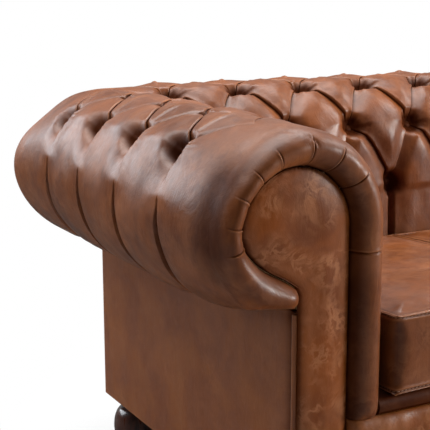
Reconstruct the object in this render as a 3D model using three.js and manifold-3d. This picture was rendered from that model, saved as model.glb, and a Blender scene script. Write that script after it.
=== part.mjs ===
// A three-seat chesterfield sofa: timber frame, foam, buttoned leather covers,
// loose box cushions and bun feet. Millimetres, +Z up, front towards -Y.
// The origin is on the floor, under the middle of the sofa's overall box.
import * as THREE from 'three';
import { mergeVertices } from 'three/addons/utils/BufferGeometryUtils.js';
import Module from 'manifold-3d';

const wasm = await Module();
wasm.setup();

// Overall sizes
const sofaWidth = 2030; // over the outsides of the two arm rolls
const sofaHeight = 773; // floor to the top of the rolls
const rollRadius = 156;
const panelDepth = 760; // plane of the front facings to the outside back panel
const backRollInset = 10; // the back roll's centre, in front of the outside back panel's face
const lipForward = 30; // the front lip, in front of the facings' plane
const floorGap = 115; // floor to the underside of the panels
const fitGap = 0.3; // clearance between pieces that touch

// Rolls, covers and padding
const coverThickness = 33; // leather with its quilted wadding
const foamThickness = 26; // foam between a cover and the timber scrolls
const rollUnderRise = 31; // where a roll's underside meets the outside panel, above the full round's lowest level
const rollUnderAngle = 236; // degrees round the roll to where its flat underside begins
const cornerShare = 0.45; // rounding of the roll's outer corner, of its offset there
const lipShares = [[0, 0], [0.1, 0.6], [0.5, 1], [0.9, 0.6], [1, -0.3]]; // across the lip, and forward
// the head's flattened lower side: out, of the scroll's radius, and down, of the way to the underside
const facingLowerShares = [[1, 0], [0.88, 0.2], [0.6, 0.42], [0.24, 0.58], [0, 0.7]];

// Buttoning
const tuftSpacing = 161;
const backGather = 0.08; // share by which the back's lowest row is drawn in to the middle
const cornerTufts = 1; // spacings that the back's three outer rows run on towards the arms
const tuftDepth = 25;
const pleatDepth = 11;
const fluteDepth = 9;
const firstTuft = 165; // facings' plane to the first button of the arm
const armTufts = 4; // buttons in the arm's outermost row
const backTufts = 8; // buttons in the back's outermost row
// each row's place, measured over the roll from its widest point inside the sofa
const tuftRowRises = [348, 264, 192, 68, -70];

// Timber
const railThickness = 28;
const railTopZ = 268; // top of the seat rails, which carry the webbing
const formerThickness = 18;
const rollRailWidth = 44;
const rollRailDepth = 22;
const rollRailInset = 6; // outer face of the rails in a roll, in from the timber scroll's round
const tuckRailHeight = 44;
const rearFormerInset = 200; // arm's rear former, in front of the outside back panel's face
const backFormerX = 350;
const stretcherX = 235;
const stretcherHeight = 85;
const blockSide = 70;
const blockHeight = 45;
const postTopDrop = 17; // top of the rear posts, below the rolls' centre
const clothThickness = 1.5;
const clothGap = 0.5; // dust cover, above the panels' lower edges

// Outside panels, border and facings
const panelThickness = 12;
const panelTopDrop = 1.5; // a panel's upper edge, under the roll
const borderTopZ = 305;
const borderPuff = 29;
// the border's face: forward, of its puff, and up, of its height
const borderShares = [[0.7, 0], [0.93, 0.12], [1, 0.45], [1, 0.75], [0.9, 0.9], [0.6, 1]];
const facingCrown = 14; // facing's front, in front of the facings' plane
const facingEdge = 5; // rounding of the facing's edges
const facingBack = 2;
const facingStemInset = 5; // outer edge of the facing's stem, inside the panel's face

// Seat
const seatCount = 3;
const deckFrontZ = 344.5; // deck's upper face at the front of the cushions
const seatFall = 35; // fall of the seat over the cushion's depth
const deckNose = 30;
const deckNoseHeight = 30;
const cushionThickness = 130;
const cushionFront = 30; // cushion's front, in front of the facings' plane
const cushionRearGap = 14;
const cushionSideGap = 14;
const cushionGap = 4;
const cushionCrown = 13;
const cushionShares = [-1, -0.88, -0.5, 0, 0.5, 0.88, 1]; // rows and columns of the cushion's mesh
const cushionDraw = 6; // how far the sides pull in between the corners
const cushionCorner = 8;
const cushionBulge = 1.5;
const cushionWall = 6;
const zipInset = 38; // zip's ends, in from the cushion's sides
const zipHeight = 5;
const zipDepth = 4;
const sliderWidth = 12;
const sliderDepth = 3.5;
const sliderHeight = 9;
const sliderMargin = 4; // from the closed end of the zip
const webbingThickness = 2;
const webbingWidth = 50;
const webbingMargin = 14; // webbing's ends, in from the outer faces of the rails
const crossWebs = 4;
const websPerSeat = 3;

// Feet and their bolts
const footInset = 55; // foot's centre, in from the panels' faces
const footRadius = 53;
const footPadRadius = 31;
const footPadHeight = 12;
const footNeckRadius = 27;
const footNeckHeight = 8;
const footCollarRadius = 36;
const footCollarHeight = 9;
const boltRadius = 4;
const boltLength = 68;
const boltDepth = 34; // how far a bolt goes down into its foot

// Numbers of steps in the meshes
const liningSteps = 12;
const cornerSteps = 3;
const fluteSteps = 6;
const lipSteps = 4;
const footDropSteps = 3;
const footSteps = 20;
const bunSteps = 7;

// Places that follow from the sizes. "out" is measured from a roll's centre line
// towards the outside of the sofa, "along" from the plane of the front facings,
// and along the back from the middle of the sofa.
const armLine = sofaWidth / 2 - rollRadius;
const backLine = panelDepth - backRollInset;
const rollZ = sofaHeight - rollRadius;
const rollUnderZ = rollZ - rollRadius + rollUnderRise;
const frontY = -(backLine + rollRadius - lipForward) / 2;
const coverInner = rollRadius - coverThickness;
const scrollRadius = coverInner - foamThickness; // timber scroll, and the head of the facing
const rollRailReach = scrollRadius - rollRailInset;
const coverFootZ = borderTopZ + fitGap;
const insideHalf = armLine - rollRadius; // middle of the sofa to an arm's inner face
const insideRear = backLine - rollRadius; // facings' plane to the back's inner face
const panelTopZ = rollUnderZ - panelTopDrop;
const clothTopZ = floorGap + clothGap + clothThickness;
const frameBottomZ = clothTopZ + fitGap;
const frameFront = facingBack + fitGap;
const frameRear = panelDepth - panelThickness - fitGap;
const stemOut = -(panelThickness + fitGap); // outer face of an arm's timber
const railIn = stemOut - railThickness; // inner face of a side rail
const timberRadius = scrollRadius - fitGap;
const webbingZ = railTopZ + fitGap;
const deckBottomZ = webbingZ + webbingThickness + fitGap;
const cushionRear = insideRear - cushionRearGap;
const seatSlope = seatFall / (cushionRear + cushionFront);
const cushionPitch = (2 * (insideHalf - cushionSideGap) + cushionGap) / seatCount;
const cushionWidth = cushionPitch - cushionGap;
const footTopZ = floorGap + clothGap - fitGap;
const rearFormerAlong = panelDepth - rearFormerInset;
const postTopZ = rollZ - postTopDrop;
const zipLength = cushionWidth - 2 * zipInset;

const leather = { color: 0x7d4832, roughness: 0.42, metalness: 0 };
const darkLeather = { color: 0x653a29, roughness: 0.45, metalness: 0 };
const timber = { color: 0xb98f5e, roughness: 0.7, metalness: 0 };
const foam = { color: 0xe6dcb4, roughness: 0.95, metalness: 0 };
const darkCloth = { color: 0x2b2927, roughness: 0.95, metalness: 0 };
const jute = { color: 0x9c8258, roughness: 0.95, metalness: 0 };
const polishedWood = { color: 0x33190f, roughness: 0.25, metalness: 0 };
const steel = { color: 0x9a9a98, roughness: 0.35, metalness: 1 };
const brass = { color: 0xa98d4c, roughness: 0.35, metalness: 1 };

const sofa = new THREE.Group();
const sides = { left: -1, right: 1 }; // left and right as seen from the front

function addPiece(name, geometry, finish) {
  const mesh = new THREE.Mesh(geometry, new THREE.MeshStandardMaterial(finish));
  mesh.name = name;
  sofa.add(mesh);
}

// Evenly spaced numbers from one value to another, both included
function spread(from, to, steps) {
  return Array.from({ length: steps + 1 }, (_, i) => from + ((to - from) * i) / steps);
}

// Turns the faces of a closed mesh so that they point outwards
function facingOut(geometry) {
  const index = geometry.index.array;
  const corner = (i) => new THREE.Vector3().fromBufferAttribute(geometry.attributes.position, index[i]);
  let volume = 0;
  for (let i = 0; i < index.length; i += 3) {
    volume += corner(i).dot(corner(i + 1).cross(corner(i + 2)));
  }
  if (volume < 0) {
    for (let i = 0; i < index.length; i += 3) [index[i], index[i + 1]] = [index[i + 1], index[i]];
  }
  return geometry;
}

// Moves every point of a geometry through a function, and merges shared points
function mapPoints(geometry, place) {
  geometry.deleteAttribute('normal');
  geometry.deleteAttribute('uv');
  const p = geometry.attributes.position;
  for (let i = 0; i < p.count; i++) p.setXYZ(i, ...place(p.getX(i), p.getY(i), p.getZ(i)));
  return facingOut(mergeVertices(geometry));
}

// World places of points given across a roll, along it and in height
function armPlace(side) {
  return (out, along, up) => [side * (armLine + out), frontY + along, up];
}

function backPlace(out, along, up) {
  return [along, frontY + backLine + out, up];
}

function floorPlace(x, along, up) {
  return [x, frontY + along, up];
}

// A box between two corners, given in the terms that place takes
function boxAt(place, low, high, grow = 0) {
  const size = high.map((v, i) => v - low[i] + 2 * grow);
  const middle = high.map((v, i) => (v + low[i]) / 2);
  const box = new THREE.BoxGeometry(...size);
  return mapPoints(box.translate(...middle), place);
}

// A flat outline of points or a THREE.Shape, given thickness from one place to another
function slabAt(outline, from, to, place) {
  const shape = outline instanceof THREE.Shape ? outline : new THREE.Shape(outline);
  const slab = new THREE.ExtrudeGeometry(shape, { depth: to - from, bevelEnabled: false });
  return mapPoints(slab.translate(0, 0, from), place);
}

function toSolid(geometry) {
  return new wasm.Manifold(new wasm.Mesh({
    numProp: 3,
    vertProperties: new Float32Array(geometry.attributes.position.array),
    triVerts: new Uint32Array(geometry.index.array),
  }));
}

function toGeometry(solid) {
  const mesh = solid.getMesh();
  const geometry = new THREE.BufferGeometry();
  geometry.setAttribute('position', new THREE.BufferAttribute(mesh.vertProperties, 3));
  geometry.setIndex(new THREE.BufferAttribute(mesh.triVerts, 1));
  return geometry;
}

function cutAway(geometry, tools) {
  return toGeometry(tools.reduce((solid, tool) => solid.subtract(toSolid(tool)), toSolid(geometry)));
}

function joined(geometries) {
  return toGeometry(geometries.map(toSolid).reduce((all, next) => all.add(next)));
}

// Closes two grids of points, each a list of rows, into one solid: the outer skin,
// the inner skin, and a band that stitches their borders together. The grids may
// differ in their counts, and points that fall together are merged.
function closedShell(outer, inner) {
  const known = new Map();
  const positions = [];
  const faces = [];
  const indexOf = (point) => {
    const key = point.map((v) => Math.round(v * 1000)).join();
    if (!known.has(key)) {
      known.set(key, known.size);
      positions.push(...point);
    }
    return known.get(key);
  };
  const addFace = (...corners) => {
    const [a, b, c] = corners.map(indexOf);
    if (a !== b && b !== c && c !== a) faces.push(a, b, c);
  };
  // the diagonals alternate, so that they follow the pleats between the buttons
  const addGrid = (rows, flip) => rows.slice(1).forEach((next, r) => next.slice(1).forEach((s, c) => {
    const [p, q, t] = [rows[r][c], rows[r][c + 1], next[c]];
    const pair = (r + c) % 2 ? [[p, q, t], [q, s, t]] : [[p, q, s], [p, s, t]];
    pair.forEach(([i, j, k]) => (flip ? addFace(i, k, j) : addFace(i, j, k)));
  }));
  // walks two border lines in step, each time across the shorter way
  const across = (p, q) => (p && q ? Math.hypot(...p.map((v, i) => v - q[i])) : Infinity);
  const stitch = (a, b) => {
    let [i, j] = [0, 0];
    while (i + 1 < a.length || j + 1 < b.length) {
      if (across(a[i + 1], b[j]) <= across(a[i], b[j + 1])) addFace(a[i], b[j], a[++i]);
      else addFace(a[i], b[j], b[++j]);
    }
  };
  const borders = (rows) => [
    rows[0],
    rows.map((row) => row.at(-1)),
    rows.at(-1).toReversed(),
    rows.map((row) => row[0]).toReversed(),
  ];
  addGrid(outer, false);
  addGrid(inner, true);
  const lining = borders(inner);
  borders(outer).forEach((rim, i) => stitch(rim, lining[i]));
  const geometry = new THREE.BufferGeometry();
  geometry.setAttribute('position', new THREE.Float32BufferAttribute(positions, 3));
  geometry.setIndex(faces);
  return facingOut(geometry);
}

// The section of a roll. "rise" is measured over the roll's surface from its widest
// point inside the sofa: below zero it runs straight down the inner face, and past
// underRise it runs in along the flat underside to the outside panel.
const underRise = rollRadius * THREE.MathUtils.degToRad(rollUnderAngle);
const underEnd = underRise - rollRadius * Math.cos(underRise / rollRadius);
const footRise = coverFootZ - rollZ;

function sectionAt(rise, radius = rollRadius) {
  const angle = THREE.MathUtils.clamp(rise, 0, underRise) / rollRadius;
  const normal = { out: -Math.cos(angle), up: Math.sin(angle) };
  const point = { out: radius * normal.out, up: rollZ + radius * normal.up, normal };
  if (rise < 0) point.up += rise;
  if (rise > underRise) {
    const left = (underEnd - rise) / (underEnd - underRise);
    point.out *= left;
    point.up = rollUnderZ + (point.up - rollUnderZ) * left;
    point.normal = { out: 0, up: -1 };
  }
  return point;
}

// Counts the rows of buttons from the outermost: 0 to the last row between them,
// below 0 on the outer flutes and past the last row on the inner flutes
const lastRow = tuftRowRises.length - 1;
const flutePitch = tuftRowRises[0] - tuftRowRises[1];

function rowAt(rise) {
  if (rise >= tuftRowRises[0]) return (tuftRowRises[0] - rise) / flutePitch;
  if (rise <= tuftRowRises[lastRow]) return lastRow + (tuftRowRises[lastRow] - rise) / flutePitch;
  const r = tuftRowRises.findIndex((v) => v < rise) - 1;
  return r + (tuftRowRises[r] - rise) / (tuftRowRises[r] - tuftRowRises[r + 1]);
}

// Depth of the buttoned surface under the plain roll. "column" counts spacings: the
// even rows' buttons lie at whole numbers from 0 to the last, the odd rows' half way.
// Pleats join each button to its four neighbours, and flutes run on from the end rows.
function buttonedDepth(column, rise, lastColumn, overrun) {
  const row = rowAt(rise);
  const past = Math.max(-row, row - lastRow, 0);
  const inwards = THREE.MathUtils.clamp(row - 2, 0, 1); // 0 on the outer rows, 1 on the inner ones
  const spare = row > lastRow ? 0 : THREE.MathUtils.lerp(overrun, overrun / 2, inwards);
  const beyond = Math.max(-spare - column, column - lastColumn - spare, 0);
  const strength = Math.max(0, 1 - 2 * beyond);
  const shift = THREE.MathUtils.clamp(row, 0, lastRow) / 2;
  const a = Math.abs(Math.sin(Math.PI * (column + shift)));
  const b = Math.abs(Math.sin(Math.PI * (column - shift)));
  const groove = THREE.MathUtils.lerp(pleatDepth, fluteDepth, Math.min(past, 1));
  const pit = (tuftDepth - pleatDepth) * Math.max(0, 1 - 2 * past);
  const tuck = Math.min(1, (underEnd - rise) / (underEnd - underRise));
  return strength * tuck * (groove * (1 - Math.sqrt(a * b)) + pit * (1 - Math.max(a, b)) ** 2);
}

// Where a point "out" from a roll's centre line turns its outer corner: the length
// of its straight run, the radius of the turn, and the whole length to the mitre
function cornerOf(out, cornerAt) {
  const radius = Math.max(out, 0) * cornerShare;
  const start = cornerAt + out - radius;
  return { radius, start, end: start + (radius * Math.PI) / 4 };
}

// Follows a roll along its straight run and round the corner, no further than the mitre
function alongRoll(out, along, cornerAt) {
  const corner = cornerOf(out, cornerAt);
  if (along <= corner.start || corner.radius === 0) return [out, Math.min(along, corner.start)];
  const turn = Math.min((along - corner.start) / corner.radius, Math.PI / 4);
  const sideways = corner.radius * (1 - Math.cos(turn));
  return [out - sideways, corner.start + corner.radius * Math.sin(turn)];
}

const armEnd = backLine - fitGap;
const backEnd = armLine - fitGap;

function onArm(side) {
  const place = armPlace(side);
  return (out, along, up) => place(...alongRoll(out, along, armEnd), up);
}

function onBack(out, along, up) {
  const [o, a] = alongRoll(out, Math.abs(along), backEnd);
  return backPlace(o, Math.sign(along) * a, up);
}

// Rows of the buttoned skin, from the outside panel over the roll to the deck, with
// two steps between the rows of buttons
const skinRises = [
  ...spread(underEnd, underRise, 2).slice(0, -1),
  ...spread(underRise, tuftRowRises[0], fluteSteps),
  ...tuftRowRises.slice(1).flatMap((rise, i) => spread(tuftRowRises[i], rise, 2).slice(1)),
  ...spread(tuftRowRises[lastRow], footRise, footDropSteps).slice(1),
];
const liningRises = [...spread(underRise, 0, liningSteps), footRise];
const quarterSpacing = tuftSpacing / 4;

// A point of the skin: the plain section, sunk along its normal by the buttoning
function skinPoint(place, rise, along, cornerAt, columns) {
  const plain = sectionAt(rise);
  const end = cornerOf(plain.out, cornerAt).end;
  const reached = Math.min(Math.abs(along), end) * Math.sign(along);
  const lowest = THREE.MathUtils.clamp(rowAt(rise) - lastRow + 1, 0, 1);
  const column = (reached / (1 - columns.gather * lowest) - columns.first) / tuftSpacing;
  const depth = buttonedDepth(column, rise, columns.count - 1, columns.overrun);
  const out = plain.out - plain.normal.out * depth;
  const up = plain.up - plain.normal.up * depth;
  return place(out, Math.abs(along) < end ? along : Math.sign(along) * Infinity, up);
}

// The line where the front lip meets the facing: round the scroll's head, then in
// along its flattened lower side, or straight down inside the sofa
function lipEdge(rise, radius) {
  const headEnd = rollRadius * Math.PI;
  if (rise <= headEnd) return sectionAt(rise, radius);
  const steps = ((rise - headEnd) / (underEnd - headEnd)) * (facingLowerShares.length - 1);
  const i = Math.min(Math.floor(steps), facingLowerShares.length - 2);
  const [a, b] = [facingLowerShares[i], facingLowerShares[i + 1]];
  const across = THREE.MathUtils.lerp(a[0], b[0], steps - i);
  const down = THREE.MathUtils.lerp(a[1], b[1], steps - i);
  return { out: radius * across, up: rollZ - ((rollZ - rollUnderZ) * down * radius) / scrollRadius };
}

// The plain side of a cover or foam layer: rows of points that run from a first
// place along the roll and round the corner to the mitre
function liningRow(point, stations, cornerAt, place) {
  const corner = cornerOf(point.out, cornerAt);
  const turn = spread(corner.start, corner.end, cornerSteps);
  return stations(turn).map((along) => place(point.out, along, point.up));
}

const fromFront = (turn) => [facingBack, ...turn];
const fromFoamFront = (turn) => [frameFront, ...turn];
const bothWays = (turn) => [...turn.toReversed().map((v) => -v), ...turn];

// A cover's lining steps in under the roll, where the foam ends, to the timber
function coverLining() {
  const timberEnd = (rollRadius * Math.PI * 3) / 2;
  const under = spread(timberEnd, underRise, 2).map((rise) => {
    const angle = rise / rollRadius;
    return { out: -scrollRadius * Math.cos(angle), up: rollZ + scrollRadius * Math.sin(angle) };
  });
  return [...under, ...liningRises.map((rise) => sectionAt(rise, coverInner))];
}

function armCover(side) {
  const place = onArm(side);
  const columns = { first: firstTuft, count: armTufts, overrun: 0, gather: 0 };
  const lipBack = -lipForward * lipShares.at(-1)[1];
  const laterSteps = Math.ceil((armEnd + rollRadius - firstTuft) / quarterSpacing);
  const alongs = [
    ...spread(lipBack, firstTuft, lipSteps).slice(1),
    ...spread(firstTuft, firstTuft + laterSteps * quarterSpacing, laterSteps).slice(1),
  ];
  const skin = skinRises.map((rise) => {
    const [inner, outer] = [lipEdge(rise, scrollRadius), sectionAt(rise)];
    const lip = lipShares.map(([across, forward]) => place(
      THREE.MathUtils.lerp(inner.out, outer.out, across),
      -lipForward * forward,
      THREE.MathUtils.lerp(inner.up, outer.up, across),
    ));
    return [...lip, ...alongs.map((along) => skinPoint(place, rise, along, armEnd, columns))];
  });
  const lining = coverLining().map((point) => liningRow(point, fromFront, armEnd, place));
  return closedShell(skin, lining);
}

function backCover() {
  const half = 2 * Math.ceil((backEnd + rollRadius) / quarterSpacing / 2);
  const alongs = spread(-half * quarterSpacing, half * quarterSpacing, 2 * half);
  const first = (-(backTufts - 1) * tuftSpacing) / 2;
  const columns = { first, count: backTufts, overrun: cornerTufts, gather: backGather };
  const skin = skinRises.map((rise) => (
    alongs.map((along) => skinPoint(onBack, rise, along, backEnd, columns))));
  const lining = coverLining().map((point) => liningRow(point, bothWays, backEnd, onBack));
  return closedShell(skin, lining);
}

// The foam between a cover and the timber scroll
function foamLayer(place, cornerAt, stations) {
  const rises = [underRise - 2 * fitGap, ...liningRises.slice(1)];
  const layer = (radius) => rises.map((rise) => (
    liningRow(sectionAt(rise, radius), stations, cornerAt, place)));
  return closedShell(layer(coverInner - fitGap), layer(scrollRadius));
}

// The leather-covered facing on the front of an arm: the scroll's head and its stem
function armFacing(side) {
  const radius = scrollRadius - fitGap;
  const outline = skinRises.map((rise) => lipEdge(rise, radius)).filter((p) => p.up > rollUnderZ);
  const bottomZ = floorGap + fitGap;
  const points = [
    new THREE.Vector2(-facingStemInset, bottomZ),
    new THREE.Vector2(-facingStemInset, rollUnderZ),
    ...outline.map((p) => new THREE.Vector2(p.out, p.up)),
    new THREE.Vector2(-radius, bottomZ),
  ];
  const slab = new THREE.ExtrudeGeometry(new THREE.Shape(points), {
    depth: facingCrown + facingBack - 2 * facingEdge,
    bevelThickness: facingEdge,
    bevelSize: facingEdge,
    bevelOffset: -facingEdge,
    bevelSegments: 2,
  });
  const place = armPlace(side);
  return mapPoints(slab, (out, up, depth) => place(out, depth + facingEdge - facingCrown, up));
}

// A scroll-shaped timber former, cut for the rails that pass through it
function scrollFormer(place, stemOuter, bottomZ, from, rails) {
  const head = liningRises.slice(0, -1).map((rise) => sectionAt(rise, timberRadius));
  const outline = [
    [stemOuter, bottomZ],
    [stemOuter, rollZ - timberRadius],
    [0, rollZ - timberRadius],
    ...head.map((p) => [p.out, p.up]),
    [-timberRadius, bottomZ],
  ].map((p) => new THREE.Vector2(...p));
  const upright = (out, up, along) => place(out, along, up);
  const board = slabAt(outline, from, from + formerThickness, upright);
  return cutAway(board, rails.map(([low, high]) => boxAt(place, low, high, fitGap)));
}

// Corners of the rails inside a roll, across it, along it and in height
function rollRails(from, topEnd, outerEnd) {
  const half = rollRailWidth / 2;
  const inner = rollRailReach - rollRailDepth;
  return {
    top: [[-half, from, rollZ + inner], [half, topEnd, rollZ + rollRailReach]],
    outer: [[inner, -outerEnd.back, rollZ - half], [rollRailReach, outerEnd.front, rollZ + half]],
  };
}

// Arms
const outerRailPast = rollRailReach * (1 - cornerShare); // an outer rail's end, past the corner
const armRails = rollRails(
  frameFront,
  backLine - rollRailWidth / 2 - fitGap,
  { back: -frameFront, front: armEnd + outerRailPast },
);
armRails.side = [[railIn, frameFront, frameBottomZ], [stemOut, frameRear, railTopZ]];

for (const [name, side] of Object.entries(sides)) {
  const place = armPlace(side);
  const rails = Object.values(armRails);
  addPiece(`arm_cover_${name}`, armCover(side), leather);
  addPiece(`arm_foam_${name}`, foamLayer(onArm(side), armEnd, fromFoamFront), foam);
  addPiece(`arm_facing_${name}`, armFacing(side), leather);
  addPiece(
    `outside_arm_panel_${name}`,
    boxAt(place, [-panelThickness, frameFront, floorGap], [0, panelDepth, panelTopZ]),
    darkLeather,
  );
  const former = (from) => scrollFormer(place, stemOut, frameBottomZ, from, rails);
  addPiece(`arm_front_former_${name}`, former(frameFront), timber);
  addPiece(`arm_rear_former_${name}`, former(rearFormerAlong), timber);
  addPiece(`arm_top_rail_${name}`, boxAt(place, ...armRails.top), timber);
  addPiece(`arm_outer_rail_${name}`, boxAt(place, ...armRails.outer), timber);
  addPiece(`side_rail_${name}`, boxAt(place, ...armRails.side), timber);
}

// Back
const backRailEnd = armLine + rollRailWidth / 2;
const backRails = rollRails(
  -backRailEnd,
  backRailEnd,
  { back: backEnd + outerRailPast, front: backEnd + outerRailPast },
);
const tuckRailEnd = armLine - timberRadius - fitGap;
backRails.tuck = [
  [-timberRadius, -tuckRailEnd, coverFootZ],
  [-timberRadius + railThickness, tuckRailEnd, coverFootZ + tuckRailHeight],
];
const backPanelOut = panelDepth - backLine;
const backPanelHalf = armLine - panelThickness - fitGap;
addPiece('back_cover', backCover(), leather);
addPiece('back_foam', foamLayer(onBack, backEnd, bothWays), foam);
addPiece(
  'outside_back_panel',
  boxAt(
    backPlace,
    [backPanelOut - panelThickness, -backPanelHalf, floorGap],
    [backPanelOut, backPanelHalf, panelTopZ],
  ),
  darkLeather,
);
for (const [name, side] of Object.entries(sides)) {
  const from = side * backFormerX - formerThickness / 2;
  const stemOuter = frameRear - backLine;
  const former = scrollFormer(backPlace, stemOuter, deckBottomZ, from, Object.values(backRails));
  addPiece(`back_former_${name}`, former, timber);
}
addPiece('back_top_rail', boxAt(backPlace, ...backRails.top), timber);
addPiece('back_outer_rail', boxAt(backPlace, ...backRails.outer), timber);
addPiece('back_tuck_rail', boxAt(backPlace, ...backRails.tuck), timber);

// Seat frame
const frontRailHalf = armLine - timberRadius - fitGap;
const rearRailHalf = armLine + railIn - fitGap;
const frontRailBack = frameFront + railThickness;
const rearRailFront = frameRear - railThickness;
addPiece(
  'front_rail',
  boxAt(floorPlace, [-frontRailHalf, frameFront, frameBottomZ], [frontRailHalf, frontRailBack, railTopZ]),
  timber,
);
addPiece(
  'rear_rail',
  boxAt(floorPlace, [-rearRailHalf, rearRailFront, frameBottomZ], [rearRailHalf, frameRear, railTopZ]),
  timber,
);
for (const [name, side] of Object.entries(sides)) {
  const middle = side * stretcherX;
  const low = [middle - railThickness / 2, frontRailBack + fitGap, frameBottomZ];
  const high = [middle + railThickness / 2, rearRailFront - fitGap, frameBottomZ + stretcherHeight];
  addPiece(`stretcher_${name}`, boxAt(floorPlace, low, high), timber);
}

// Corner blocks inside the seat rails, drilled for the foot bolts, and the rear posts
// that stand on them
const boltHoleRadius = boltRadius + fitGap;
const footAlongs = { front: footInset, rear: panelDepth - footInset };

function roundHole(x, y) {
  const turns = spread(0, 2 * Math.PI, footSteps).slice(0, -1);
  return new THREE.Path(turns.map((t) => (
    new THREE.Vector2(x + boltHoleRadius * Math.cos(t), y + boltHoleRadius * Math.sin(t)))));
}

function rectangle(x0, y0, x1, y1) {
  return new THREE.Shape([[x0, y0], [x1, y0], [x1, y1], [x0, y1]].map((p) => new THREE.Vector2(...p)));
}

for (const [name, side] of Object.entries(sides)) {
  const place = armPlace(side);
  const blockOut = railIn - fitGap;
  const blockAlongs = {
    front: frontRailBack + fitGap,
    rear: rearRailFront - fitGap - blockSide,
  };
  for (const [end, from] of Object.entries(blockAlongs)) {
    const outline = rectangle(blockOut - blockSide, from, blockOut, from + blockSide);
    outline.holes.push(roundHole(-footInset, footAlongs[end]));
    const block = slabAt(outline, frameBottomZ, frameBottomZ + blockHeight, place);
    addPiece(`corner_block_${end}_${name}`, block, timber);
  }
  const postBottomZ = frameBottomZ + blockHeight + fitGap;
  const postFront = backLine - timberRadius;
  const low = [-timberRadius, postFront, postBottomZ];
  const high = [blockOut, rearRailFront - fitGap, postTopZ];
  addPiece(`corner_post_${name}`, boxAt(place, low, high), timber);
}

// Webbing: straps from front to rear and from side to side, on top of the rails
function seatWebbing() {
  const half = webbingWidth / 2;
  const [front, rear] = [frameFront + webbingMargin, frameRear - webbingMargin];
  const reach = armLine + stemOut - webbingMargin;
  const top = webbingZ + webbingThickness;
  const lastX = insideHalf - webbingWidth;
  const straps = spread(-lastX, lastX, seatCount * websPerSeat - 1).map((x) => (
    boxAt(floorPlace, [x - half, front, webbingZ], [x + half, rear, top])));
  const firstAlong = frameFront + formerThickness + webbingWidth;
  const lastAlong = rearFormerAlong - webbingWidth;
  straps.push(...spread(firstAlong, lastAlong, crossWebs - 1).map((along) => (
    boxAt(floorPlace, [-reach, along - half, webbingZ], [reach, along + half, top]))));
  return joined(straps);
}

// Deck: the sprung pad under the cushions, with the rounded nose that shows below them
function deckTop(along) {
  return deckFrontZ - seatSlope * (along + cushionFront);
}

function seatDeck() {
  const half = insideHalf - fitGap;
  const noseBottomZ = borderTopZ + fitGap;
  const noseTopZ = noseBottomZ + deckNoseHeight;
  const round = deckNoseHeight / 4;
  const rear = insideRear - fitGap;
  const outline = [
    [frameFront, noseBottomZ],
    [round - deckNose, noseBottomZ],
    [-deckNose, noseBottomZ + round],
    [-deckNose, noseTopZ - round],
    [round - deckNose, noseTopZ],
    [round, deckTop(round)],
    [rear, deckTop(rear)],
    [rear, deckBottomZ],
    [frameFront, deckBottomZ],
  ].map((p) => new THREE.Vector2(...p));
  return slabAt(outline, -half, half, (along, up, x) => floorPlace(x, along, up));
}

// The padded border under the seat, between the stems of the two facings
function frontBorder() {
  const half = armLine - scrollRadius - fitGap;
  const bottomZ = floorGap + fitGap;
  const height = borderTopZ - bottomZ;
  const outline = [
    [facingBack, bottomZ],
    ...borderShares.map(([forward, up]) => [-borderPuff * forward, bottomZ + height * up]),
    [facingBack, borderTopZ],
  ].map((p) => new THREE.Vector2(...p));
  return slabAt(outline, -half, half, (along, up, x) => floorPlace(x, along, up));
}

function dustCover() {
  const half = armLine + stemOut;
  const outline = rectangle(-half, frameFront, half, frameRear);
  for (const side of Object.values(sides)) {
    for (const along of Object.values(footAlongs)) {
      outline.holes.push(roundHole(side * (armLine - footInset), along));
    }
  }
  return slabAt(outline, floorGap + clothGap, clothTopZ, floorPlace);
}

addPiece('seat_webbing', seatWebbing(), jute);
addPiece('seat_deck', seatDeck(), leather);
addPiece('front_border', frontBorder(), leather);
addPiece('dust_cover', dustCover(), darkCloth);

// A loose box cushion, or the space inside its cover: a crowned top, a flat underside
// and sides that draw in between the corners. Everything is "inset" from the cover's face.
function cushionBody(middleX, inset) {
  const shares = [-1, ...cushionShares, 1]; // the first and last rings lie half way down the sides
  const half = cushionWidth / 2 - inset;
  const [front, rear] = [inset - cushionFront, cushionRear - inset];
  const middle = (front + rear) / 2;
  const depth = (rear - front) / 2;
  const tray = (top) => shares.map((v, r) => shares.map((u, c) => {
    const edge = Math.min(r, c, shares.length - 1 - r, shares.length - 1 - c) === 0;
    const round = cushionCorner * (u * v) ** 8;
    const bulge = edge ? cushionBulge : 0;
    const draw = cushionDraw * (1 - v ** 2);
    const frontDraw = v < 0 ? cushionDraw * (1 - u ** 2) : 0;
    const sideways = half - draw * Math.abs(u) - round + (Math.abs(u) === 1 ? bulge : 0);
    const forward = depth - frontDraw * Math.abs(v) - round * (v < 0) + (v === -1 ? bulge : 0);
    const along = middle + forward * v;
    const base = deckTop(along) + fitGap + inset;
    const thickness = cushionThickness - 2 * inset;
    const crown = cushionCrown * (1 - u ** 4) * (1 - v ** 4);
    const height = edge ? thickness / 2 : (thickness + crown) * top;
    return floorPlace(middleX + sideways * u, along, base + height);
  }));
  return closedShell(tray(1), tray(0));
}

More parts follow.
